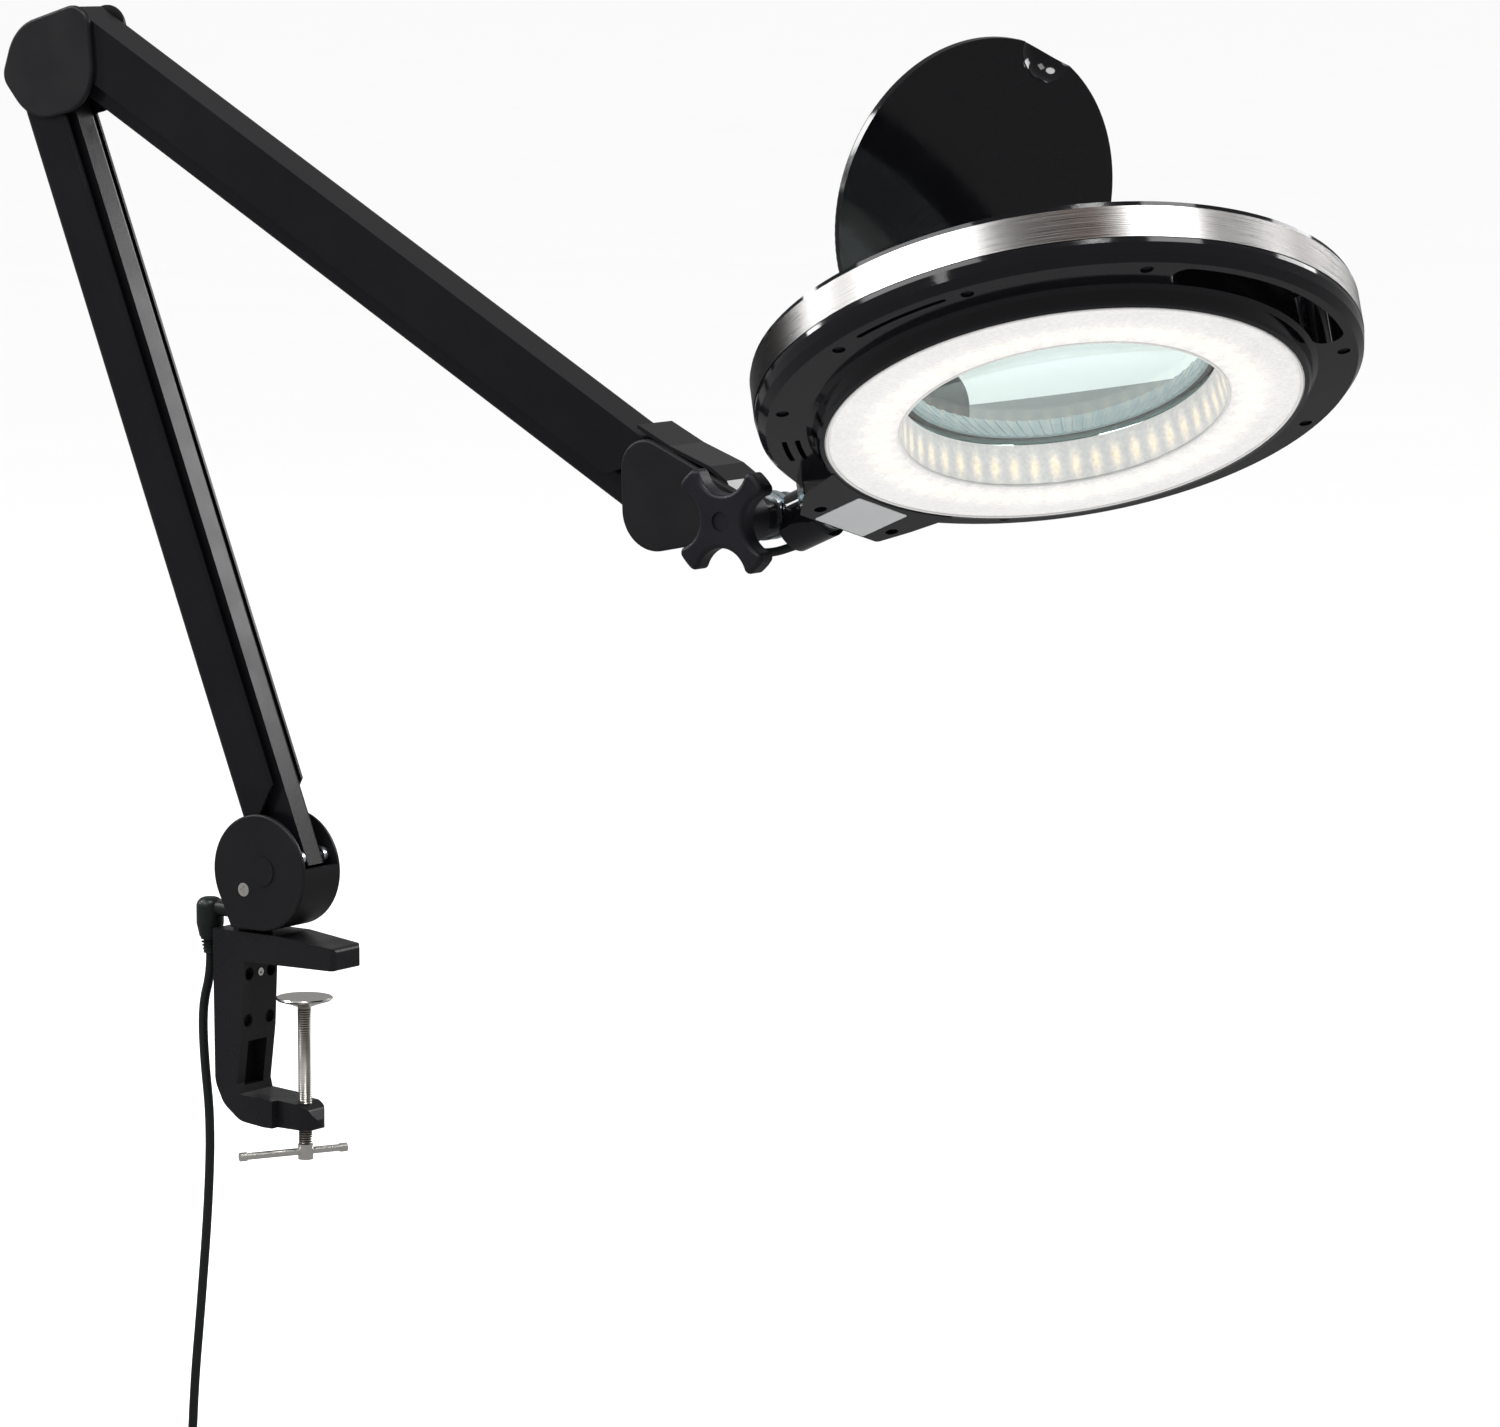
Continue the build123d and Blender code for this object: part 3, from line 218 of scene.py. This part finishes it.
def brushed_band_painted_reflections(name):
    """Steel brushed round the head: fine lines that run along the band, with painted reflections: bright patches
    at listed angles over near-black steel, a painted dark reflection.
    """
    material, nodes, links, shader = blank_material(name)
    angle, _, height = head_coordinates(nodes, links)
    lines = nodes.new("ShaderNodeCombineXYZ")
    links.new(angle, lines.inputs["X"])
    links.new(arithmetic(nodes, links, "MULTIPLY", height, BRUSH_FINENESS), lines.inputs["Z"])
    streak = noise(nodes, links, 3.0, 6.0, lines.outputs["Vector"])
    # painted reflection mask: a faint share of the brush streaks plus bright bell-shaped patches at the listed
    # angles
    painted_reflection_mask = remap(nodes, links, streak, 0.0, 0.012)
    for centre, width, amount in PAINTED_BAND_REFLECTIONS:
        patch = bell(nodes, links, angle, math.radians(centre), math.radians(width))
        patch = arithmetic(nodes, links, "MULTIPLY", patch, amount)
        painted_reflection_mask = arithmetic(nodes, links, "ADD", painted_reflection_mask, patch)
    painted_reflection_mask = arithmetic(nodes, links, "MINIMUM", painted_reflection_mask, 1.0)
    # painted highlight where the patches fall, and a near-black painted dark reflection between them
    painted_highlight_tone = vary(nodes, links, streak, (0.80, 0.79, 0.77), (0.99, 0.98, 0.97))
    painted_dark_reflection_tone = vary(nodes, links, streak, (0.008, 0.006, 0.005), (0.022, 0.017, 0.015))
    tone = nodes.new("ShaderNodeMix")
    tone.data_type = "RGBA"
    links.new(painted_reflection_mask, tone.inputs["Factor"])
    links.new(painted_dark_reflection_tone, tone.inputs["A"])
    links.new(painted_highlight_tone, tone.inputs["B"])
    links.new(tone.outputs["Result"], shader.inputs["Base Color"])
    links.new(remap(nodes, links, streak, 0.24, 0.36), shader.inputs["Roughness"])
    bump(nodes, links, streak, shader, 0.00012, 0.6)
    shader.inputs["Metallic"].default_value = 1.0
    shader.inputs["Anisotropic"].default_value = 0.6
    return material


def lens_glass(name):
    """Clear optical glass with a faint green tint and almost no haze."""
    material, nodes, links, shader = blank_material(name)
    cloud = noise(nodes, links, 15.0, 2.0)
    tint = vary(nodes, links, cloud, (0.80, 0.95, 0.91), (0.86, 0.97, 0.94))
    links.new(tint, shader.inputs["Base Color"])
    links.new(remap(nodes, links, cloud, 0.0, 0.012), shader.inputs["Roughness"])
    bump(nodes, links, noise(nodes, links, 30.0, 1.0), shader, 0.00001, 0.1)
    shader.inputs["Transmission Weight"].default_value = 1.0
    shader.inputs["IOR"].default_value = 1.50
    return material


def head_coordinates(nodes, links):
    """In the shader: the angle round the lens axis, the distance from it, the height along it."""
    place = nodes.new("ShaderNodeVectorMath")
    place.operation = "SUBTRACT"
    place.inputs[1].default_value = head
    links.new(nodes.new("ShaderNodeTexCoord").outputs["Object"], place.inputs[0])

    def along(axis):
        dot = nodes.new("ShaderNodeVectorMath")
        dot.operation = "DOT_PRODUCT"
        dot.inputs[1].default_value = axis
        links.new(place.outputs["Vector"], dot.inputs[0])
        return dot.outputs["Value"]

    across, over, height = along(head_axis), along(head_side), along(head_up)
    angle = arithmetic(nodes, links, "ARCTAN2", over, across)
    squares = arithmetic(nodes, links, "ADD", arithmetic(nodes, links, "MULTIPLY", over, over),
                         arithmetic(nodes, links, "MULTIPLY", across, across))
    return angle, arithmetic(nodes, links, "SQRT", squares), height


def arithmetic(nodes, links, operation, first, second=None):
    """One maths node; each input is a socket or a plain number."""
    node = nodes.new("ShaderNodeMath")
    node.operation = operation
    for socket, value in zip(node.inputs, (first, second)):
        if isinstance(value, (int, float)):
            socket.default_value = value
        elif value is not None:
            links.new(value, socket)
    return node.outputs["Value"]


def bell(nodes, links, value, centre, width):
    """A smooth bump from 0 to 1 round a centre value."""
    offset = arithmetic(nodes, links, "SUBTRACT", value, centre)
    offset = arithmetic(nodes, links, "MULTIPLY", offset, 1 / width)
    square = arithmetic(nodes, links, "MULTIPLY", offset, offset)
    return arithmetic(nodes, links, "EXPONENT", arithmetic(nodes, links, "MULTIPLY", square, -1.0))


LED_COUNT = 48
LED_RING = 71 * MM          # radius of the ring of light points
DIFFUSER_WALL = 63 * MM     # radius of the diffuser's inner wall
WALL_GLOW = -15 * MM        # height of the light points seen in that wall


def frosted(name, strength=0.21):
    """The light ring's moulded diffuser: stippled, with the warm light points showing through."""
    material, nodes, links, shader = blank_material(name)
    angle, distance, height = head_coordinates(nodes, links)
    cloud = noise(nodes, links, 45.0, 5.0)
    stipple = noise(nodes, links, 620.0, 3.0)
    cell = arithmetic(nodes, links, "MULTIPLY", angle, LED_COUNT / (2 * math.pi))
    cell = arithmetic(nodes, links, "FRACT", cell)
    point = bell(nodes, links, cell, 0.5, 0.24)
    wall = arithmetic(nodes, links, "LESS_THAN", distance, DIFFUSER_WALL)
    spots = arithmetic(nodes, links, "MULTIPLY", arithmetic(nodes, links, "MULTIPLY", point, wall),
                       bell(nodes, links, height, WALL_GLOW, 5 * MM))
    ripple = arithmetic(nodes, links, "MULTIPLY", point, 0.35)
    halo = arithmetic(nodes, links, "MULTIPLY", bell(nodes, links, distance, LED_RING, 6 * MM),
                      arithmetic(nodes, links, "ADD", ripple, 0.45))
    warm = arithmetic(nodes, links, "MINIMUM", arithmetic(nodes, links, "ADD", spots, halo), 1.0)
    tone = vary(nodes, links, warm, (1.0, 0.985, 0.985), (1.0, 0.80, 0.50))
    body = vary(nodes, links, cloud, (0.42, 0.415, 0.41), (0.52, 0.51, 0.50))
    links.new(body, shader.inputs["Base Color"])
    links.new(remap(nodes, links, stipple, 0.3, 0.55), shader.inputs["Roughness"])
    bump(nodes, links, stipple, shader, 0.0006, 0.6)
    links.new(tone, shader.inputs["Emission Color"])
    glow = arithmetic(nodes, links, "MULTIPLY", warm, 2.2)
    glow = arithmetic(nodes, links, "ADD", glow, 1.0)
    glow = arithmetic(nodes, links, "MULTIPLY", glow, strength)
    grain = remap(nodes, links, stipple, 0.70, 1.15)
    links.new(arithmetic(nodes, links, "MULTIPLY", glow, grain), shader.inputs["Emission Strength"])
    return material


THREAD_SPAN = (-76.6, -18.8)    # heights of the threaded length's ends, in mm
THREADS_PER_METRE = 1000.0


def nickel_with_painted_groove_shade(name):
    """Nickel with painted shade along the grooves of a 1 mm thread over the threaded length of the clamp screw,
    and a matching bump.
    """
    material, nodes, links, shader = blank_material(name)
    split = nodes.new("ShaderNodeSeparateXYZ")
    links.new(nodes.new("ShaderNodeTexCoord").outputs["Object"], split.inputs["Vector"])
    height = arithmetic(nodes, links, "MULTIPLY", split.outputs["Z"], THREADS_PER_METRE)
    groove_shade_mask = bell(nodes, links, arithmetic(nodes, links, "FRACT", height), 0.5, 0.26)
    above = arithmetic(nodes, links, "GREATER_THAN", height, THREAD_SPAN[0])
    below = arithmetic(nodes, links, "LESS_THAN", height, THREAD_SPAN[1])
    within = arithmetic(nodes, links, "MULTIPLY", above, below)
    groove_shade_mask = arithmetic(nodes, links, "MULTIPLY", groove_shade_mask, within)
    cloud = noise(nodes, links, 60.0, 6.0)
    plain = vary(nodes, links, cloud, (0.66, 0.63, 0.59), (0.93, 0.91, 0.87))
    tone = nodes.new("ShaderNodeMix")
    tone.data_type = "RGBA"
    links.new(groove_shade_mask, tone.inputs["Factor"])
    links.new(plain, tone.inputs["A"])
    # painted shade: the colour darkened along each thread groove
    tone.inputs["B"].default_value = (0.10, 0.09, 0.08, 1)
    links.new(tone.outputs["Result"], shader.inputs["Base Color"])
    links.new(remap(nodes, links, cloud, 0.14, 0.30), shader.inputs["Roughness"])
    bump(nodes, links, arithmetic(nodes, links, "MULTIPLY", groove_shade_mask, -1.0), shader, 0.0002, 0.6)
    shader.inputs["Metallic"].default_value = 1.0
    return material


def glowing(name, colour, strength):
    """A light source with slightly uneven phosphor."""
    material, nodes, links, shader = blank_material(name)
    cloud = noise(nodes, links, 900.0, 2.0)
    tone = vary(nodes, links, cloud, tuple(0.92 * part for part in colour), colour)
    links.new(tone, shader.inputs["Base Color"])
    links.new(tone, shader.inputs["Emission Color"])
    links.new(remap(nodes, links, cloud, 0.4, 0.6), shader.inputs["Roughness"])
    shader.inputs["Emission Strength"].default_value = strength
    return material


def floor_material():
    material, nodes, links, shader = blank_material("studio_floor")
    cloud = noise(nodes, links, 3.0, 3.0)
    tone = vary(nodes, links, cloud, (0.93, 0.93, 0.93), (0.95, 0.95, 0.95))
    links.new(tone, shader.inputs["Base Color"])
    shader.inputs["Roughness"].default_value = 0.9
    return material


# Painted, moulded and plated finishes: name, dark and light tone, roughness range, grain scale and
# depth, how metallic, and how strong the reflection is.
FINISHES = (
    ("cast_black", (0.004, 0.004, 0.005), (0.009, 0.009, 0.010), (0.22, 0.38), 700, 0.00008, 0, 0.17),
    ("arm_black", (0.003, 0.003, 0.004), (0.006, 0.006, 0.007), (0.16, 0.26), 1100, 0.00005, 0, 0.17),
    ("shell_black", (0.002, 0.002, 0.003), (0.004, 0.004, 0.005), (0.05, 0.11), 500, 0.00002, 0, 0.34),
    ("cover_black", (0.004, 0.004, 0.005), (0.009, 0.009, 0.010), (0.33, 0.46), 1800, 0.00007, 0, 0.15),
    ("knob_black", (0.004, 0.004, 0.006), (0.008, 0.008, 0.011), (0.34, 0.48), 1500, 0.00010, 0, 0.18),
    ("zinc", (0.62, 0.70, 0.74), (0.86, 0.92, 0.95), (0.16, 0.32), 900, 0.00006, 1, 0.5),
    ("nickel", (0.66, 0.63, 0.59), (0.93, 0.91, 0.87), (0.14, 0.30), 800, 0.00006, 1, 0.5),
    ("spring_steel", (0.20, 0.20, 0.21), (0.36, 0.36, 0.37), (0.3, 0.5), 900, 0.0001, 1, 0.5),
    ("seal_pale", (0.42, 0.46, 0.46), (0.56, 0.60, 0.60), (0.25, 0.4), 1200, 0.00006, 0, 0.5),
    ("bezel_silver", (0.24, 0.28, 0.30), (0.34, 0.38, 0.40), (0.30, 0.44), 1200, 0.00006, 0, 0.5),
    ("board_white", (0.72, 0.74, 0.73), (0.82, 0.83, 0.82), (0.35, 0.5), 800, 0.00006, 0, 0.5),
    ("plate_silver", (0.36, 0.365, 0.37), (0.45, 0.455, 0.46), (0.34, 0.46), 1500, 0.00003, 0.3, 0.5),
    ("cord_black", (0.004, 0.006, 0.005), (0.008, 0.011, 0.010), (0.34, 0.5), 900, 0.00008, 0, 0.2),
    ("plug_black", (0.004, 0.006, 0.005), (0.007, 0.011, 0.010), (0.28, 0.42), 1300, 0.00008, 0, 0.22),
    ("adapter_black", (0.005, 0.005, 0.006), (0.010, 0.010, 0.011), (0.35, 0.5), 1600, 0.00010, 0, 0.2),
    ("white_ink", (0.78, 0.78, 0.78), (0.86, 0.86, 0.86), (0.4, 0.5), 1500, 0.00002, 0, 0.5),
    ("red_ink", (0.62, 0.02, 0.02), (0.72, 0.03, 0.03), (0.4, 0.5), 1500, 0.00002, 0, 0.5),
    ("tie_black", (0.012, 0.012, 0.012), (0.02, 0.02, 0.02), (0.5, 0.7), 2500, 0.0002, 0, 0.5),
)
MATERIALS = {row[0]: coated(*row) for row in FINISHES}
# steel band with painted reflections, bright patches over near-black steel
MATERIALS["band_steel"] = brushed_band_painted_reflections("band_steel")
MATERIALS["lens_glass"] = lens_glass("lens_glass")
MATERIALS["diffuser_clear"] = frosted("diffuser_clear")
MATERIALS["clear_lip"] = frosted("clear_lip", 0.05)
MATERIALS["led_yellow"] = glowing("led_yellow", (1.0, 0.80, 0.52), 3.0)
# nickel with painted shade in the thread grooves, for the clamp screw
MATERIALS["thread_nickel_painted_shade"] = nickel_with_painted_groove_shade("thread_nickel_painted_shade")

# width of the rounding of sharp edges on each CAD node that has one, in mm
EDGE_ROUND = {
    "clamp_bracket": 0.9, "clamp_pad": 0.15, "tommy_bar": 0.35, "base_pins": 0.5, "swivel_pin": 0.3,
    "lower_back_channel": 0.35, "lower_front_channel": 0.3, "lower_spring": 0.1,
    "elbow_bracket": 0.3,
    "upper_top_channel": 0.35, "upper_bottom_channel": 0.3, "upper_spring": 0.1,
    "nose_bracket": 0.6, "nose_cover_far": 0.35, "tilt_washers": 0.15, "tilt_bolt": 0.25,
    "tilt_knob": 0.3, "yoke": 0.6, "neck_washers": 0.15, "head_top_shell": 0.3,
    "head_bottom_shell": 0.3, "bezel": 0.2, "diffuser": 0.4, "rating_plate": 0.04, "lid": 0.25,
    "lid_hinge": 0.3, "power_adapter": 0.5,
}


def finish_nodes():
    """Give every CAD node its material, and round the edges of those in EDGE_ROUND."""
    slots = {part["node"]: part["material_slot"] for part in frame["record"]["subparts"]}
    for name, node in frame["nodes"].items():
        # the clamp screw takes the nickel with painted shade in its thread grooves
        material = "thread_nickel_painted_shade" if name == "clamp_screw" else slots[name]
        node.data.materials.clear()
        node.data.materials.append(MATERIALS[material])
        if name in EDGE_ROUND:
            rounding = node.modifiers.new("edges", "BEVEL")
            rounding.width = EDGE_ROUND[name] * MM
            rounding.segments = 2
            rounding.limit_method = "ANGLE"
            rounding.angle_limit = math.radians(40)
            rounding.use_clamp_overlap = True


# ---- building helpers ---------------------------------------------------------------------------
def link(name, mesh, material):
    """A new object from a mesh, with its material."""
    piece = bpy.data.objects.new(name, mesh)
    bpy.context.scene.collection.objects.link(piece)
    piece.data.materials.append(material)
    return piece


def mesh_from(bm, name, smooth=True):
    mesh = bpy.data.meshes.new(name)
    bmesh.ops.recalc_face_normals(bm, faces=bm.faces)
    bm.to_mesh(mesh)
    bm.free()
    for face in mesh.polygons:
        face.use_smooth = smooth
    return mesh


def nurbs(name, points, radius, material):
    """A round cord on a smooth spline through the control points."""
    data = bpy.data.curves.new(name, "CURVE")
    data.dimensions = "3D"
    spline = data.splines.new("NURBS")
    spline.points.add(len(points) - 1)
    for target, point in zip(spline.points, points):
        target.co = (*point, 1)
    spline.order_u = 3
    spline.use_endpoint_u = True
    spline.resolution_u = 6
    data.bevel_depth = radius
    data.bevel_resolution = 4
    data.use_fill_caps = True
    piece = bpy.data.objects.new(name, data)
    bpy.context.scene.collection.objects.link(piece)
    if material is not None:
        data.materials.append(material)
    return piece


def line_of(points):
    """The points of the smooth spline itself, read from a curve with no bevel."""
    curve = nurbs("line", points, 0.0, None)
    curve.data.use_fill_caps = False
    bpy.context.view_layer.update()
    mesh = bpy.data.meshes.new_from_object(curve)
    line = [vertex.co.copy() for vertex in mesh.vertices]
    bpy.data.objects.remove(curve)
    bpy.data.meshes.remove(mesh)
    return line


def tube_mesh(name, line, radius, sides=16):
    """A closed tube round a line of points."""
    bm = bmesh.new()
    rings = []
    across = None
    for index, point in enumerate(line):
        ahead = line[min(index + 1, len(line) - 1)] - line[max(index - 1, 0)]
        ahead = ahead.normalized()
        if across is None:
            across = ahead.orthogonal().normalized()
        across = (across - ahead * across.dot(ahead)).normalized()
        other = ahead.cross(across)
        ring = []
        for side in range(sides):
            turn = 2 * math.pi * side / sides
            outward = across * math.cos(turn) + other * math.sin(turn)
            ring.append(bm.verts.new(point + outward * radius))
        rings.append(ring)
    for first, second in zip(rings, rings[1:]):
        for side in range(sides):
            after = (side + 1) % sides
            bm.faces.new((first[side], first[after], second[after], second[side]))
    bm.faces.new(rings[0][::-1])
    bm.faces.new(rings[-1])
    return mesh_from(bm, name)


# ---- power lead ---------------------------------------------------------------------------------
CORD_R = 2.0 * MM
PLUG_X = -37.2
LEAD_ROUTE = [
    (PLUG_X, 0, -0.6), (PLUG_X, 0, -9.4), (-42.0, 0, -23.5), (-41.6, 0, -45.0), (-38.2, 0, -73.0),
    (-40.0, 0, -108.0), (-44.6, 0, -151.0), (-49.4, 0, -190.0), (-51.2, 0, -221.0), (-58.0, -6.0, -239.0),
    (-66.0, -15.0, -244.4),
]
# the wound lead's turns as (radius, height) in its ring, in winding order
TURNS = [
    (27.5, 10.6), (27.5, 14.8), (23.1, 14.8), (18.6, 14.8), (18.6, 10.6), (23.0, 10.6),
    (23.0, 6.4), (18.6, 6.4), (22.9, 2.1), (27.5, 2.1), (27.5, 6.3),
]
POINTS_A_TURN = 16
CHANGE_AT, CHANGE_SPAN = 0.55, 0.4     # where in a turn the lead passes to the next one
TIE_AT = 0.35                          # angle of the first tie; the second is opposite
TIE_STEPS = 32
BUNDLE_R = 23.0


def make_lead():
    """The power lead from the plug to the adapter, wound up on the floor."""
    ring = middle("cord_coil")
    points = [Vector(point) * MM for point in LEAD_ROUTE]
    count = (len(TURNS) - 1) * POINTS_A_TURN + POINTS_A_TURN // 4
    for step in range(2, count + 1):
        turn = min(step / POINTS_A_TURN, len(TURNS) - 1.001)
        place = int(turn)
        blend = min(max((turn - place - CHANGE_AT) / CHANGE_SPAN, 0.0), 1.0)
        blend = blend * blend * (3 - 2 * blend)
        radius = TURNS[place][0] * (1 - blend) + TURNS[place + 1][0] * blend
        height = TURNS[place][1] * (1 - blend) + TURNS[place + 1][1] * blend
        angle = math.pi / 2 + 2 * math.pi * step / POINTS_A_TURN
        points.append(Vector((ring.x + radius * MM * math.cos(angle),
                              ring.y + radius * MM * math.sin(angle), FLOOR_Z + height * MM)))
    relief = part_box("power_adapter")[1]
    points.append(Vector((ring.x - 25 * MM, relief[1] + 9 * MM, FLOOR_Z + 6.4 * MM)))
    points.append(Vector((ring.x - 23 * MM, relief[1], FLOOR_Z + 6.5 * MM)))
    lead = nurbs("power_lead", points, CORD_R, MATERIALS["cord_black"])
    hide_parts("power_cord", "cord_coil")
    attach(lead, "base")
    tie = make_ties(ring)
    line = line_of(points)


def make_ties(ring):
    """Two soft ties round the wound bundle."""
    bm = bmesh.new()
    for angle in (TIE_AT, TIE_AT + math.pi):
        out = Vector((math.cos(angle), math.sin(angle), 0))
        along = out.cross(UP)
        loops = []
        for edge in (-4, 4):
            for thick in (0.0, 0.9):
                loop = []
                for step in range(TIE_STEPS):
                    turn = 2 * math.pi * step / TIE_STEPS
                    wide = (7.0 + thick) * math.copysign(abs(math.cos(turn)) ** 0.5, math.cos(turn))
                    tall = (8.3 + thick) * math.copysign(abs(math.sin(turn)) ** 0.5, math.sin(turn))
                    place = ring + out * (BUNDLE_R + wide) * MM + UP * tall * MM + along * edge * MM
                    place.z = max(place.z, FLOOR_Z + 0.0002)
                    loop.append(bm.verts.new(place))
                loops.append(loop)
        for first, second in ((0, 1), (1, 3), (3, 2), (2, 0)):
            for step in range(TIE_STEPS):
                after = (step + 1) % TIE_STEPS
                bm.faces.new((loops[first][step], loops[first][after],
                              loops[second][after], loops[second][step]))
    tie = link("coil_ties", mesh_from(bm, "coil_ties"), MATERIALS["tie_black"])
    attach(tie, "base")
    return tie


# ---- head cable ---------------------------------------------------------------------------------
HEAD_CABLE_R = 1.75 * MM
HEAD_CABLE_ROUTE = (
    (-15, 0, -6.6), (-12, 0.5, -11), (-7, 2, -15.3), (-0.5, 4, -15), (5.2, 5.6, -13.2),
    (10.1, 6.4, -11.3),
)


def make_head_cable():
    """The short cable from the nose to the yoke, under the tilt bolt."""
    points = [tilt + Vector(offset) * MM for offset in HEAD_CABLE_ROUTE]
    line = line_of(points)
    mesh = tube_mesh("head_lead", line, HEAD_CABLE_R)
    cable = link("head_lead", mesh, MATERIALS["cord_black"])
    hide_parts("head_cable")
    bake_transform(cable)


# ---- head details -------------------------------------------------------------------------------
RIB_COUNT = 100
RIB_HALF_WIDTH = 0.62
RIB_ENDS = ((65.3, 17.0), (57.9, 1.4))     # radius and height of the top and the foot


def make_bezel_ribs():
    """Upright ribs round the inside of the silver bezel."""
    bm = bmesh.new()
    for index in range(RIB_COUNT):
        angle = 360 * index / RIB_COUNT
        corners = []
        for radius, height in RIB_ENDS:
            for depth in (-0.3, 0.8):
                for shift in (-RIB_HALF_WIDTH, RIB_HALF_WIDTH):
                    place = head_point(radius - depth, angle + math.degrees(shift / radius), height)
                    corners.append(bm.verts.new(place))
        top_out_a, top_out_b, top_in_a, top_in_b, low_out_a, low_out_b, low_in_a, low_in_b = corners
        bm.faces.new((top_out_a, top_out_b, top_in_b, top_in_a))
        bm.faces.new((low_out_a, low_in_a, low_in_b, low_out_b))
        bm.faces.new((top_in_a, top_in_b, low_in_b, low_in_a))
        bm.faces.new((top_out_a, low_out_a, low_out_b, top_out_b))
        bm.faces.new((top_out_a, top_in_a, low_in_a, low_out_a))
        bm.faces.new((top_out_b, low_out_b, low_in_b, top_in_b))
    bm.transform(head_matrix)
    mesh = mesh_from(bm, "bezel_ribs", False)
    ribs = link("bezel_ribs", mesh, MATERIALS["bezel_silver"])
    soften = ribs.modifiers.new("edges", "BEVEL")
    soften.width = 0.25 * MM
    soften.segments = 2
    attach(ribs, "head")


def ring_piece(name, section, material, steps=192):
    """A ring about the lens axis from a closed section of (radius, height) points."""
    bm = bmesh.new()
    loops = []
    for step in range(steps):
        angle = 360 * step / steps
        loops.append([bm.verts.new(head_point(radius, angle, height)) for radius, height in section])
    for step in range(steps):
        first, second = loops[step], loops[(step + 1) % steps]
        for corner in range(len(section)):
            after = (corner + 1) % len(section)
            bm.faces.new((first[corner], first[after], second[after], second[corner]))
    bm.transform(head_matrix)
    piece = link(name, mesh_from(bm, name), material)
    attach(piece, "head")
    return piece


def bead(radius, height, size, points=12):
    """A round section for a moulded bead."""
    turns = [2 * math.pi * k / points for k in range(points)]
    return [(radius + size * math.cos(turn), height + size * math.sin(turn)) for turn in turns]


def make_lips():
    """Clear moulded beads along the diffuser's inner and outer edges."""
    clear = MATERIALS["clear_lip"]
    ring_piece("diffuser_inner_lip", bead(62.4, -21.9, 0.6), clear)
    ring_piece("diffuser_outer_lip", bead(90.0, -22.1, 0.6), clear)


def flat_shape(bm, outline, radius, angle, height, spin, thick=0.12):
    """A thin raised mark on the head's top, its outline given round its own centre in mm."""
    lower, upper = [], []
    centre = head_point(radius, angle, height)
    for x, y in outline:
        turned = Vector((x * math.cos(spin) - y * math.sin(spin),
                         x * math.sin(spin) + y * math.cos(spin), 0)) * MM
        lower.append(bm.verts.new(centre + turned))
        upper.append(bm.verts.new(centre + turned + Vector((0, 0, thick * MM))))
    bm.faces.new(upper)
    bm.faces.new(lower[::-1])
    for index in range(len(outline)):
        after = (index + 1) % len(outline)
        bm.faces.new((lower[index], lower[after], upper[after], upper[index]))


MARK_RADIUS = 86.5
MARK_HEIGHT = 16.4


def sun_outline(inner=1.5, outer=2.4, rays=8):
    """A plain sun: points alternating between two radii."""
    outline = []
    for k in range(2 * rays):
        reach = outer if k % 2 else inner
        outline.append((reach * math.cos(math.pi * k / rays), reach * math.sin(math.pi * k / rays)))
    return outline


def make_touch_marks():
    """Two rows of plain touch marks by the handle: an arrow, a sun and an arrow in each."""
    arrow = [(-1.7, -1.5), (1.7, 0.0), (-1.7, 1.5)]
    sun = sun_outline()
    rows = (
        ("touch_marks_white", "white_ink", (-23.0, -17.8, -12.6)),
        ("touch_marks_red", "red_ink", (2.4, 7.6, 12.8)),
    )
    for name, ink, angles in rows:
        bm = bmesh.new()
        for index, angle in enumerate(angles):
            spin = math.radians(angle + (90 if index == 2 else -90))
            flat_shape(bm, sun if index == 1 else arrow, MARK_RADIUS, angle, MARK_HEIGHT, spin)
        bm.transform(head_matrix)
        piece = link(name, mesh_from(bm, name, False), MATERIALS[ink])
        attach(piece, "head")


# ---- floor and assembly -------------------------------------------------------------------------
FLOOR_REACH = 90.0


def make_floor():
    bm = bmesh.new()
    bm.faces.new([bm.verts.new((x * FLOOR_REACH, y * FLOOR_REACH, FLOOR_Z - 0.0005))
                  for x, y in ((-1, -1), (1, -1), (1, 1), (-1, 1))])
    floor = bpy.data.objects.new("floor", mesh_from(bm, "floor", False))
    bpy.context.scene.collection.objects.link(floor)
    floor.data.materials.append(floor_material())
    # the floor lights the lamp but is not mirrored in it, so that glossy black reads dark
    floor.visible_glossy = False


make_camera()
make_lead()
make_head_cable()
make_light()
finish_nodes()
make_bezel_ribs()
make_lips()
make_touch_marks()
make_floor()
